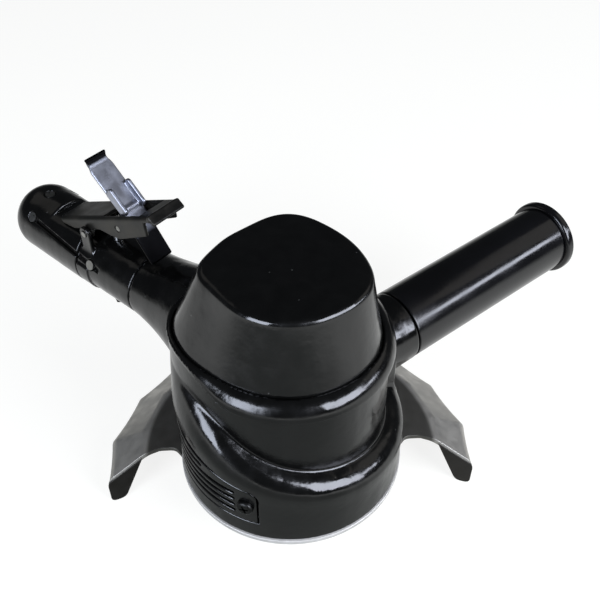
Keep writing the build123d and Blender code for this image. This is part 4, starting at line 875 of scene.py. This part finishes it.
def add(tree, kind, inputs=(), output=None, **settings):
    """Adds a node, sets its properties, and links or fills its inputs, given by name or in order. Returns
    the output that is named, or else the first one in use."""
    node = tree.nodes.new("ShaderNode" + kind)
    for name, value in settings.items():
        setattr(node, name, value)
    pairs = inputs.items() if isinstance(inputs, dict) else enumerate(inputs)
    for name, value in pairs:
        if isinstance(value, bpy.types.NodeSocket):
            tree.links.new(value, node.inputs[name])
        else:
            node.inputs[name].default_value = value
    if output:
        return node.outputs[output]
    return next((socket for socket in node.outputs if socket.enabled), None)


def finish(name, shader):
    """New material whose Principled shader has the inputs that a function works out."""
    made = bpy.data.materials.new(name)
    made.use_nodes = True
    tree = made.node_tree
    tree.nodes.clear()
    place = add(tree, "TexCoord", output="Object")
    add(tree, "OutputMaterial", {"Surface": add(tree, "BsdfPrincipled", shader(tree, place))})
    return made


def grain(tree, place, size_mm, detail=3.0, stretch=(1, 1, 1)):
    """Noise with blotches of about the given size, drawn out along an axis whose stretch is under one."""
    scaled = add(tree, "Mapping", {"Vector": place, "Scale": stretch})
    return add(tree, "TexNoise", {"Vector": scaled, "Scale": 1 / (size_mm * MM), "Detail": detail})


def relief(tree, *layers):
    """Normal disturbed by layers of relief, the deepest first: a pattern and its height for each."""
    below = {}
    for pattern, height_mm in layers:
        normal = add(tree, "Bump", {"Height": pattern, "Distance": height_mm * MM, "Strength": 1.0, **below})
        below = {"Normal": normal}
    return normal


def gloss_enamel(tree, place):
    """Black gloss enamel dipped over a rough casting: deep black with upright runs, a wet shine that wavers
    with the metal below, faint orange peel and a little dust."""
    waver = grain(tree, place, 13.0, 1.0, (1.0, 1.0, 0.3))
    run = grain(tree, place, 7.0, 3.0, (1.0, 1.0, 0.12))
    ripple = grain(tree, place, 4.5, 2.0)
    peel = grain(tree, place, 1.6, 1.0)
    haze = grain(tree, place, 9.0, 5.0)
    dust = add(tree, "TexVoronoi", {"Vector": place, "Scale": 1 / (9.0 * MM), "Randomness": 1.0})
    speck = add(tree, "MapRange", (dust, 0.03, 0.055, 1.0, 0.0))
    shades = {"Factor": run, "A": linear("#040404"), "B": linear("#0e0e0d")}
    black = add(tree, "Mix", shades, data_type="RGBA")
    dusted = {"Factor": speck, "A": black, "B": linear("#3c3c3a")}
    return {
        "Base Color": add(tree, "Mix", dusted, data_type="RGBA"),
        "Roughness": add(tree, "MapRange", (haze, 0.35, 0.65, 0.1, 0.25)),
        "IOR": 1.55,
        "Normal": relief(tree, (waver, 0.6), (run, 0.12), (ripple, 0.1), (peel, 0.012)),
    }


def turned_enamel(tree, place):
    """The same enamel on a turned tube: smoother and rounder in its shine."""
    waver = grain(tree, place, 16.0, 1.0)
    peel = grain(tree, place, 1.8, 1.0)
    haze = grain(tree, place, 18.0, 4.0)
    shades = {"Factor": haze, "A": linear("#090909"), "B": linear("#101012")}
    return {
        "Base Color": add(tree, "Mix", shades, data_type="RGBA"),
        "Roughness": add(tree, "MapRange", (haze, 0.3, 0.7, 0.12, 0.22)),
        "IOR": 1.52,
        "Normal": relief(tree, (waver, 0.12), (peel, 0.01)),
    }


def satin_black(tree, place):
    """Blackened pressed steel: satin, a warm dark grey where it is rubbed."""
    rub = grain(tree, place, 9.0, 4.0)
    bare = add(tree, "MapRange", (rub, 0.4, 0.7, 0.0, 1.0))
    shades = {"Factor": bare, "A": linear("#20201e"), "B": linear("#3c3a35")}
    return {
        "Base Color": add(tree, "Mix", shades, data_type="RGBA"),
        "Metallic": 0.75,
        "Roughness": add(tree, "MapRange", (rub, 0.3, 0.7, 0.3, 0.46)),
        "Normal": relief(tree, (grain(tree, place, 0.8, 2.0), 0.012)),
    }


def blued_strip(tree, place):
    """Cold-rolled strip: bluish grey on the tongue between the pin and the lip, and near black, painted
    shade, below the pin and on the lip."""
    streak = grain(tree, place, 6.0, 4.0, (1.0, 1.0, 0.25))
    height = add(tree, "SeparateXYZ", {"Vector": place}, "Z")
    over_pin = add(tree, "MapRange", (height, LOCK_FOOT_SHADE_FADE[0] * MM, LOCK_FOOT_SHADE_FADE[1] * MM, 0.0, 1.0))
    under_lip = add(tree, "MapRange", (height, LOCK_LIP_SHADE_FADE[0] * MM, LOCK_LIP_SHADE_FADE[1] * MM, 1.0, 0.0))
    clear_of_painted_shade = add(tree, "Math", (over_pin, under_lip), operation="MULTIPLY")
    shades = {"Factor": streak, "A": linear("#8d909c"), "B": linear("#b2b5be")}
    tongue = add(tree, "Mix", shades, data_type="RGBA")
    # Near black below the pin and on the lip: painted shade
    painted_shade_mix = {"Factor": clear_of_painted_shade, "A": linear("#0c0c0d"), "B": tongue}
    return {
        "Base Color": add(tree, "Mix", painted_shade_mix, data_type="RGBA"),
        "Metallic": 1.0,
        "Roughness": add(tree, "MapRange", (streak, 0.3, 0.7, 0.3, 0.45)),
        "Normal": relief(tree, (grain(tree, place, 0.9, 2.0), 0.01)),
    }


def bare_sheet(tree, place):
    """Bare pressed steel sheet: warm grey mill finish with stains, scuffs and a fine rolling grain, dull
    enough to scatter light, and darker on the level shelf inside the fold."""
    stain = grain(tree, place, 26.0, 5.0)
    scuff = grain(tree, place, 5.0, 6.0, (1.0, 1.0, 0.4))
    level = add(tree, "VectorMath", (place, (1.0, 1.0, 0.0)), operation="MULTIPLY")
    radius = add(tree, "VectorMath", (level,), operation="LENGTH")
    dark_from, dark_to = ((GUARD_PLATE_R - inside) * MM for inside in GUARD_DARK_PLATE)
    plate_darkening = add(tree, "MapRange", (radius, dark_from, dark_to, 1.0, 0.0))
    shades = {"Factor": stain, "A": linear("#98958e"), "B": linear("#bdbab2")}
    mill = add(tree, "Mix", shades, data_type="RGBA")
    darkened_plate = {"Factor": plate_darkening, "A": mill, "B": linear("#64625c")}
    return {
        "Base Color": add(tree, "Mix", darkened_plate, data_type="RGBA"),
        "Metallic": 0.7,
        "Roughness": add(tree, "MapRange", (scuff, 0.3, 0.7, 0.32, 0.55)),
        "Normal": relief(tree, (stain, 0.25), (grain(tree, place, 0.7, 3.0), 0.014)),
    }


def pale_collar_painted_light(tree, place):
    """Guard's collar: a paler, duller copy of the sheet's steel that scatters light, as painted light."""
    mottle = grain(tree, place, 5.0, 4.0)
    shades = {"Factor": mottle, "A": linear("#c4c1ba"), "B": linear("#e4e1db")}
    return {
        "Base Color": add(tree, "Mix", shades, data_type="RGBA"),
        "Metallic": 0.35,
        "Roughness": add(tree, "MapRange", (mottle, 0.3, 0.7, 0.4, 0.6)),
    }


def metal(low, high, roughness, size_mm, stretch=(1, 1, 1)):
    """Plain metal finish in blotches of one size: two near shades, and roughness varying by a fifth."""
    def shader(tree, place):
        mottle = grain(tree, place, size_mm, 4.0, stretch)
        shades = {"Factor": mottle, "A": linear(low), "B": linear(high)}
        return {
            "Base Color": add(tree, "Mix", shades, data_type="RGBA"),
            "Metallic": 1.0,
            "Roughness": add(tree, "MapRange", (mottle, 0.3, 0.7, roughness * 0.8, roughness * 1.2)),
            "Normal": relief(tree, (grain(tree, place, size_mm / 4, 2.0), 0.008)),
        }
    return shader


def soft_stuff(low, high, roughness, size_mm, height_mm):
    """Plain non-metal finish: two near shades in blotches of one size, with relief of the same size."""
    def shader(tree, place):
        mottle = grain(tree, place, size_mm, 5.0)
        shades = {"Factor": mottle, "A": linear(low), "B": linear(high)}
        return {
            "Base Color": add(tree, "Mix", shades, data_type="RGBA"),
            "Roughness": roughness,
            "Normal": relief(tree, (mottle, height_mm)),
        }
    return shader


FINISHES = {
    # Enamel over castings and tube
    "gloss_enamel": finish("gloss enamel on casting", gloss_enamel),
    "grip_enamel": finish("gloss enamel on tube", turned_enamel),
    # Pressed steel
    "lever_steel": finish("blackened pressed steel", satin_black),
    "lock_steel": finish("steel strip with painted shade", blued_strip),
    "guard_steel": finish("bare mild steel sheet", bare_sheet),
    # Pale copy of the sheet's steel on the guard's collar: painted light
    "guard_collar_painted_light": finish("mild steel collar, painted light", pale_collar_painted_light),
    # Near black on the guard's tabs: painted shade
    "guard_tab": finish("mild steel, painted shade", metal("#2f2e2c", "#454340", 0.48, 6.0)),
    # Machined and plated metals
    "cast_aluminium": finish("machined cast aluminium", metal("#a5a6a4", "#c3c4c2", 0.38, 3.0)),
    "bright_steel": finish("zinc plated steel", metal("#83837f", "#a5a5a1", 0.34, 2.0)),
    "dark_steel": finish("black oxide steel", metal("#262626", "#3a3a39", 0.38, 2.0)),
    "ground_steel": finish("ground steel", metal("#b4b5b6", "#cfd0d0", 0.22, 1.5, (1.0, 1.0, 6.0))),
    "motor_iron": finish("machined cast iron", metal("#6b6a68", "#8a8986", 0.42, 2.5)),
    "brass": finish("turned brass", metal("#b58a3c", "#d3a955", 0.28, 2.0)),
    # Seals and fillers
    "nitrile": finish("moulded nitrile rubber", soft_stuff("#121212", "#1d1d1d", 0.55, 1.5, 0.01)),
    "gasket_paper": finish("pressed fibre gasket", soft_stuff("#2b2925", "#3a372f", 0.8, 1.0, 0.02)),
    "felt": finish("pressed wool felt", soft_stuff("#3c3a36", "#55524b", 0.95, 1.2, 0.1)),
    "vane_resin": finish("fabric-filled resin", soft_stuff("#5b3a22", "#7a5233", 0.5, 1.4, 0.02)),
}
SLOT_OF = {row["node"]: row["material_slot"] for row in frame["record"]["subparts"]}
for node, made in frame["nodes"].items():
    made.data.materials.clear()
    made.data.materials.append(FINISHES[SLOT_OF[node]])


# Pieces

def cast_piece(node, form, low, high, step, body="housing", axes=None, origin=0.0):
    """Piece that stands for a node, cast from a form on a grid between two corners, in the part's frame or
    in a frame of its own."""
    points, quads, normals = cast(form, low, high, step)
    if axes is not None:
        points = points @ axes + origin
        normals = normals @ axes
    piece(node + "_skin", points, quads, body, node, normals=normals)


def upper_housing():
    """Drawn-in cap: for each azimuth, a profile up the swelling wall, round the edge and in to the pole,
    and back inside by the wall's thickness."""
    turn = np.linspace(0, np.pi / 2, CAP_EDGE_ROWS)[1:]
    wall = np.linspace(0, CAP_H - CAP_EDGE, CAP_WALL_ROWS)
    rise = np.concatenate([wall, wall[-1] + CAP_EDGE * np.sin(turn)])[:, None]
    inset = np.concatenate([np.zeros(CAP_WALL_ROWS), CAP_EDGE * (1 - np.cos(turn))])[:, None]
    azimuth = np.linspace(0, 360, CAP_COLUMNS, endpoint=False)
    outer_r = cap_radius(azimuth[None], rise / CAP_H) - inset
    outer_z = np.broadcast_to(CAP_Z + rise, outer_r.shape)
    shrink = np.array(CAP_ROOF_RINGS)[:, None]
    roof_r = outer_r[-1:] * shrink
    roof_z = outer_z[-1:] + CAP_CROWN * (1 - shrink ** 2)
    hollow = np.linspace(1, 0, CAP_INNER_ROWS)[:, None] * (CAP_H - CAP_ROOF)
    inner_r = cap_radius(azimuth[None], hollow / CAP_H) - CAP_WALL
    inner_z = np.broadcast_to(CAP_Z + hollow, inner_r.shape)
    ceiling_r = inner_r[:1] * np.array(CAP_CEILING_RINGS)[:, None]
    ceiling_z = np.broadcast_to(inner_z[:1], ceiling_r.shape)
    radius = np.concatenate([ceiling_r, inner_r, outer_r, roof_r])
    height = np.concatenate([ceiling_z, inner_z, outer_z, roof_z])
    angle = np.radians(azimuth)
    points = np.stack([radius * np.cos(angle), radius * np.sin(angle), height], -1).reshape(-1, 3)
    faces = capped_tube(len(radius), CAP_COLUMNS)
    piece("upper_housing_skin", points, faces, "housing", "upper_housing", sharp=CREASE)


def dead_handle():
    """Collar, grip tube and flanged end cap, each a profile turned about the handle's axis."""
    plug_r = GRIP_IN_R - PLUG_GAP
    plug_end = COLLAR[1] + COLLAR_PLUG
    collar = softened([(STUD_R, COLLAR[0]), (COLLAR_R, COLLAR[0]), (COLLAR_R, COLLAR[1]),
                       (GRIP_IN_R, COLLAR[1]), (plug_r, plug_end), (STUD_R, plug_end)], COLLAR_EDGE)
    grip = softened([(GRIP_IN_R, GRIP[0]), (GRIP_R, GRIP[0]), (GRIP_R, GRIP[1]), (GRIP_IN_R, GRIP[1])],
                    GRIP_EDGE)
    plug_end = GRIP[1] - END_PLUG
    rim = softened([(END_PLUG_POLE, plug_end), (plug_r, plug_end), (plug_r, END_FLANGE[0]),
                    (END_FLANGE_R, END_FLANGE[0]), (END_FLANGE_R, END_FLANGE[1]),
                    (END_DOME_R + END_DOME_STEP, END_FLANGE[1])], END_FLANGE_EDGE, END_FLANGE_STEPS)
    share = np.linspace(1, END_DOME_POLE, END_DOME_ROWS)
    dome = np.stack([END_DOME_R * share, END_FLANGE[1] + END_DOME * (1 - share ** 2)], -1)
    cap = np.concatenate([rim, dome])
    for node, profile, looped in (("dead_handle_collar", collar, True), ("dead_handle_grip", grip, True),
                                  ("dead_handle_cap", cap, False)):
        points, faces = turned(profile, UP * DEAD_Z, DEAD_AXES, looped=looped)
        piece(node + "_skin", points, faces, "housing", node, sharp=HANDLE_CREASE)


def stepped(profile, spacing):
    """How a profile is divided: for each point, the number of its segment and the share along it."""
    lengths = np.hypot(*np.diff(profile, axis=0).T)
    counts = np.maximum(np.ceil(lengths / spacing), 1).astype(int)
    number = np.repeat(np.arange(len(counts)), counts)
    share = np.concatenate([np.arange(n) / n for n in counts])
    return np.append(number, len(counts) - 1), np.append(share, 1.0)


def guard_profile(rim_z):
    """Middle line of the sheet from the ring out along the plate, down the slope and down the lip."""
    half = GUARD_T / 2
    slope = np.arctan2(GUARD_T - rim_z, GUARD_RIM_R - GUARD_PLATE_R)
    plate_r = GUARD_PLATE_R - half * np.tan(slope / 2)
    rim = (GUARD_RIM_R - half, rim_z - half * np.tan((np.pi / 2 - slope) / 2))
    ring_r = GUARD_RING[1] - GUARD_RING_LAP
    lip_z = GUARD_LIP_Z + GUARD_LIP_GAP
    return softened([(ring_r, half), (plate_r, half), rim, (rim[0], lip_z)], GUARD_BEND_R, GUARD_BEND_STEPS)


def guard_sheet():
    """Half-bell guard: the profile carried round in flat panels folded every few degrees, each panel bowed
    in a little between its folds, and every row ending on the flared cut line."""
    low, high = guard_profile(GUARD_RIM_Z), guard_profile(GUARD_RIM_Z + GUARD_END_RISE)
    number, share = stepped(low, GUARD_ROW)
    share = share[:, None]
    low, high = ((1 - share) * line[number] + share * line[number + 1] for line in (low, high))
    radius = low[:, 0]
    fold = np.radians(GUARD_FOLD)
    x_end = radius * np.cos(fold / 2)
    y_end = GUARD_END[1] - GUARD_FLARE * np.maximum(x_end - GUARD_END[0], 0)
    near = np.clip(GUARD_RING[1] + GUARD_NOTCH - x_end, 0, GUARD_NOTCH)
    y_end = y_end - GUARD_NOTCH + np.sqrt(GUARD_NOTCH ** 2 - near ** 2)
    end = np.pi / 2 + np.arctan2(-y_end, x_end)
    angle = end[:, None] * np.linspace(-1, 1, GUARD_COLUMNS)
    off_middle = fold / 2 - np.abs((angle + fold / 2) % fold - fold / 2)
    rise = np.clip(np.abs(angle) / fold - GUARD_LEVEL_FOLDS, 0, 1)
    row_r = low[:, :1] + rise * (high - low)[:, :1]
    z = low[:, 1:] + rise * (high - low)[:, 1:]
    bent = ramp(radius, GUARD_PLATE_R - GUARD_FOLD_IN, GUARD_PLATE_R)[:, None]
    row_r = row_r * (1 - bent + bent * np.cos(fold / 2) / np.cos(off_middle))
    out = ramp(radius, GUARD_PLATE_R, GUARD_RIM_R)[:, None]
    row_r = row_r - GUARD_SAG * out * (1 - (off_middle / (fold / 2)) ** 2)
    turn = np.pi / 2 + angle + np.radians(GUARD_TURN)
    points = np.stack([row_r * np.cos(turn), row_r * np.sin(turn), z], -1).reshape(-1, 3)
    rows, cols = row_r.shape
    i, j = np.meshgrid(np.arange(rows - 1), np.arange(cols - 1), indexing="ij")
    quads = np.stack([i * cols + j, (i + 1) * cols + j, (i + 1) * cols + j + 1, i * cols + j + 1], -1)
    made = piece("wheel_guard_sheet", points, quads.reshape(-1, 4), "wheel_guard", "wheel_guard")
    skin = made.modifiers.new("sheet", "SOLIDIFY")
    skin.thickness = GUARD_T * MM
    skin.offset = 0.0
    skin.use_even_offset = True
    eased(made)


def guard_tab(name, side):
    """Tapered tab that closes a cut end of the guard: a rounded outline in the cut's plane, given the
    sheet's thickness and a near black finish that is painted shade. The side is 1 or -1."""
    outline = softened([*GUARD_TAB, GUARD_TAB[0]], GUARD_TAB_CORNER)[:-1]
    along = np.array([side, -GUARD_FLARE, 0]) / np.hypot(1, GUARD_FLARE)
    inward = direction(90)
    corner = np.array([side * GUARD_END[0], GUARD_END[1], 0]) - inward * GUARD_TAB_PROUD
    face = corner + outline[:, :1] * along + outline[:, 1:] * UP
    turn = np.array([direction(GUARD_TURN), direction(GUARD_TURN + 90), UP])
    points = np.concatenate([face, face + inward * GUARD_T]) @ turn
    faces = [corners[::side] for corners in capped_tube(2, len(face))]
    eased(piece(name, points, faces, "wheel_guard", slot="guard_steel", paint="guard_tab", sharp=CREASE))


def guard_ring():
    """Collar of the guard: a flat ring with eased edges, turned about the spindle and joined underneath."""
    inner, outer = GUARD_RING
    seam, seam_end = (inner + inset for inset in GUARD_RING_SEAM)
    profile = softened([(seam, 0), (outer, 0), (outer, GUARD_T), (inner, GUARD_T), (inner, 0),
                        (seam_end, 0)], SHEET_EDGE, EDGE_STEPS)
    axes = np.array([UP, direction(0), direction(90)])
    points, faces = turned(profile, np.zeros(3), axes, GUARD_RING_COLUMNS, True)
    # The collar's pale finish is painted light
    piece("wheel_guard_ring", points, faces, "wheel_guard", slot="guard_steel", paint="guard_collar_painted_light",
          sharp=CREASE)


def lock_pin():
    """Pin of the lock lever: a plain rod whose ends are dished and set back in the lever's flanges."""
    half = LEVER_W / 2 - PIN_SET_BACK
    dish = [*PIN_DISH, (PIN_R, 0.0)]
    near = [(radius, depth - half) for radius, depth in dish]
    far = [(radius, half - depth) for radius, depth in dish[::-1]]
    profile = softened(near + far, PIN_EDGE, EDGE_STEPS)
    origin = np.array([*LOCK_PIVOT, 0]) @ LEVER_AXES + LEVER_ORIGIN
    points, faces = turned(profile, origin, LEVER_AXES[[2, 0, 1]], PIN_COLUMNS)
    piece("lock_pin_skin", points, faces, "throttle_lever", "lock_pin", sharp=CREASE)


def valve_spring():
    """Spring under the valve ball: a small circle carried along a helix from the foot to the top of the
    spring's part."""
    foot, top = (corner[2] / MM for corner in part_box("valve_spring"))
    middle = direction(THROTTLE_AZ) * STEM_S
    turn = np.linspace(0, 2 * np.pi * SPRING_TURNS, SPRING_ROWS)
    height = np.linspace(foot + SPRING_WIRE_R, top - SPRING_WIRE_R, SPRING_ROWS)
    out = np.stack([np.cos(turn), np.sin(turn), 0 * turn], -1)
    path = middle + SPRING_R * out + height[:, None] * UP
    along = np.gradient(path, axis=0)
    along /= np.linalg.norm(along, axis=1)[:, None]
    angle = np.linspace(0, 2 * np.pi, SPRING_COLUMNS, endpoint=False)[:, None]
    ring = np.cos(angle) * out[:, None] + np.sin(angle) * np.cross(along, out)[:, None]
    points = (path[:, None] + SPRING_WIRE_R * ring).reshape(-1, 3)
    faces = capped_tube(SPRING_ROWS, SPRING_COLUMNS)
    made = piece("valve_spring_coil", points, faces, None, "valve_spring", sharp=CREASE)
    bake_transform(made)


def thread(name, slot, body, origin, axes, sizes):
    """Screw thread: radius as a triangle wave of the distance along the axis less the turn, with flats at
    root and crest, fading at the ends."""
    root_r, crest_r, start, end, pitch = sizes
    rows = int((end - start) / pitch * THREAD_ROWS) + 1
    along = np.linspace(start, end, rows)[:, None]
    angle = np.linspace(0, 2 * np.pi, THREAD_COLUMNS, endpoint=False)[None]
    wave = np.abs(((along / pitch - angle / (2 * np.pi)) % 1) * 2 - 1)
    wave = np.clip(wave * (1 + 2 * THREAD_FLAT) - THREAD_FLAT, 0, 1)
    wave = wave * np.clip(np.minimum(along - start, end - along) / pitch, 0, 1)
    radius = root_r + (crest_r - root_r) * wave
    rim = np.cos(angle)[..., None] * axes[1] + np.sin(angle)[..., None] * axes[2]
    points = radius[..., None] * rim + along[..., None] * axes[0] + origin
    faces = tube_faces(rows, THREAD_COLUMNS)
    if crest_r < root_r:
        faces = faces[:, ::-1]
    piece(name, points.reshape(-1, 3), faces, body, slot=slot)


# Castings: node, form, the corners and the step of its grid, and its body and frame where they differ
cast_piece("motor_housing", housing_form, (-99, -59, 1.35), (58, 99, 100), 0.98)
cast_piece("louvre_cover", louvre_form, (-55, -55, 12.5), (-12, -12, 45), 0.45)
cast_piece("throttle_handle", handle_form, (-120, 40, 38), (-48, 104, 90), 0.7)
cast_piece("end_housing", end_form, (-163, 68, 40), (-86, 137, 81), 0.7)
cast_piece("throttle_lever", lever_form, (-64, -6, -12), (28, 10, 12), 0.5,
           "throttle_lever", LEVER_AXES, LEVER_ORIGIN)
cast_piece("lock_lever", lock_form, (-41, -23, -8), (-19, 39, 8), 0.45,
           "lock_lever", LEVER_AXES, LEVER_ORIGIN)
upper_housing()
dead_handle()
guard_sheet()
guard_ring()
guard_tab("wheel_guard_tab_right", 1)
guard_tab("wheel_guard_tab_left", -1)
lock_pin()
valve_spring()
thread("spindle_nose_thread", "ground_steel", "spindle", np.zeros(3),
       np.array([-UP, direction(0), direction(-90)]), NOSE_THREAD)
thread("inlet_thread", "dark_steel", "housing", UP * THROTTLE_Z, THROTTLE_AXES, INLET_THREAD)


# Surroundings

def emitter(name, place, aim, size, power, colour):
    """Soft rectangular lamp at a place, facing a point."""
    lamp = bpy.data.lights.new(name, "AREA")
    lamp.shape = "RECTANGLE"
    lamp.size, lamp.size_y = size
    lamp.energy = power
    lamp.color = linear(colour)[:3]
    made = bpy.data.objects.new(name, lamp)
    made.location = place
    made.rotation_euler = (Vector(aim) - Vector(place)).to_track_quat("-Z", "Y").to_euler()
    bpy.context.scene.collection.objects.link(made)


def white_floor():
    """Large pale floor: matt under the lamps and lifted to white for the camera. A shine sees it pale as
    well, by smooth steps of the distance: dim just before the tool, a painted shade as if someone stood
    there, and far off."""
    mesh = bpy.data.meshes.new("floor")
    signs = ((-1, -1), (1, -1), (1, 1), (-1, 1))
    corners = [(x * FLOOR_REACH, y * FLOOR_REACH, FLOOR_Z) for x, y in signs]
    mesh.from_pydata(corners, [], [(0, 1, 2, 3)])
    made = bpy.data.objects.new("floor", mesh)
    bpy.context.scene.collection.objects.link(made)
    paint = bpy.data.materials.new("matt white floor")
    paint.use_nodes = True
    tree = paint.node_tree
    tree.nodes.clear()
    place = add(tree, "TexCoord", output="Object")
    away = add(tree, "VectorMath", (place, FLOOR_DIM_AT), operation="DISTANCE")
    glossy = add(tree, "LightPath", output="Is Glossy Ray")
    through = add(tree, "LightPath", output="Is Transmission Ray")
    shine = add(tree, "Math", (glossy, through), operation="MAXIMUM")
    # Painted shade in the glow that a shine sees
    for steps in (FLOOR_NEAR, FLOOR_FAR):
        pale = add(tree, "MapRange", (away, *steps), interpolation_type="SMOOTHSTEP")
        shine = add(tree, "Math", (shine, pale), operation="MULTIPLY")
    seen = add(tree, "LightPath", output="Is Camera Ray")
    lift = add(tree, "Math", (seen, FLOOR_LIFT, shine), operation="MULTIPLY_ADD")
    matt = add(tree, "BsdfDiffuse", {"Color": linear("#88887f")})
    glow = add(tree, "Emission", {"Strength": lift})
    add(tree, "OutputMaterial", {"Surface": add(tree, "AddShader", (matt, glow))})
    mesh.materials.append(paint)


def studio():
    """Dim surroundings that the camera sees white, a window to each side of the front, a narrow one at the
    right, and a soft light to each side of the back."""
    world = bpy.data.worlds.new("studio")
    bpy.context.scene.world = world
    world.use_nodes = True
    tree = world.node_tree
    tree.nodes.clear()
    room = add(tree, "Background", {"Color": linear("#8a8f96"), "Strength": ROOM_LIGHT})
    backdrop = add(tree, "Background", {"Color": linear("#ffffff"), "Strength": 1.0})
    seen = add(tree, "LightPath", output="Is Camera Ray")
    add(tree, "OutputWorld", {"Surface": add(tree, "MixShader", (seen, room, backdrop))})
    for lamp in LAMPS:
        emitter(*lamp)
    bpy.context.scene.view_settings.view_transform = "Standard"


def camera():
    """Camera at the photograph's place: 44 degrees down, 51 mm lens on a 36 mm frame."""
    lens = bpy.data.cameras.new("camera")
    lens.lens = CAMERA_LENS
    lens.sensor_width = CAMERA_FRAME
    lens.clip_start = CAMERA_NEAR
    made = bpy.data.objects.new("camera", lens)
    made.location = CAMERA_PLACE
    made.rotation_euler = (np.radians(CAMERA_TILT), 0, 0)
    bpy.context.scene.collection.objects.link(made)
    bpy.context.scene.camera = made


white_floor()
studio()
camera()
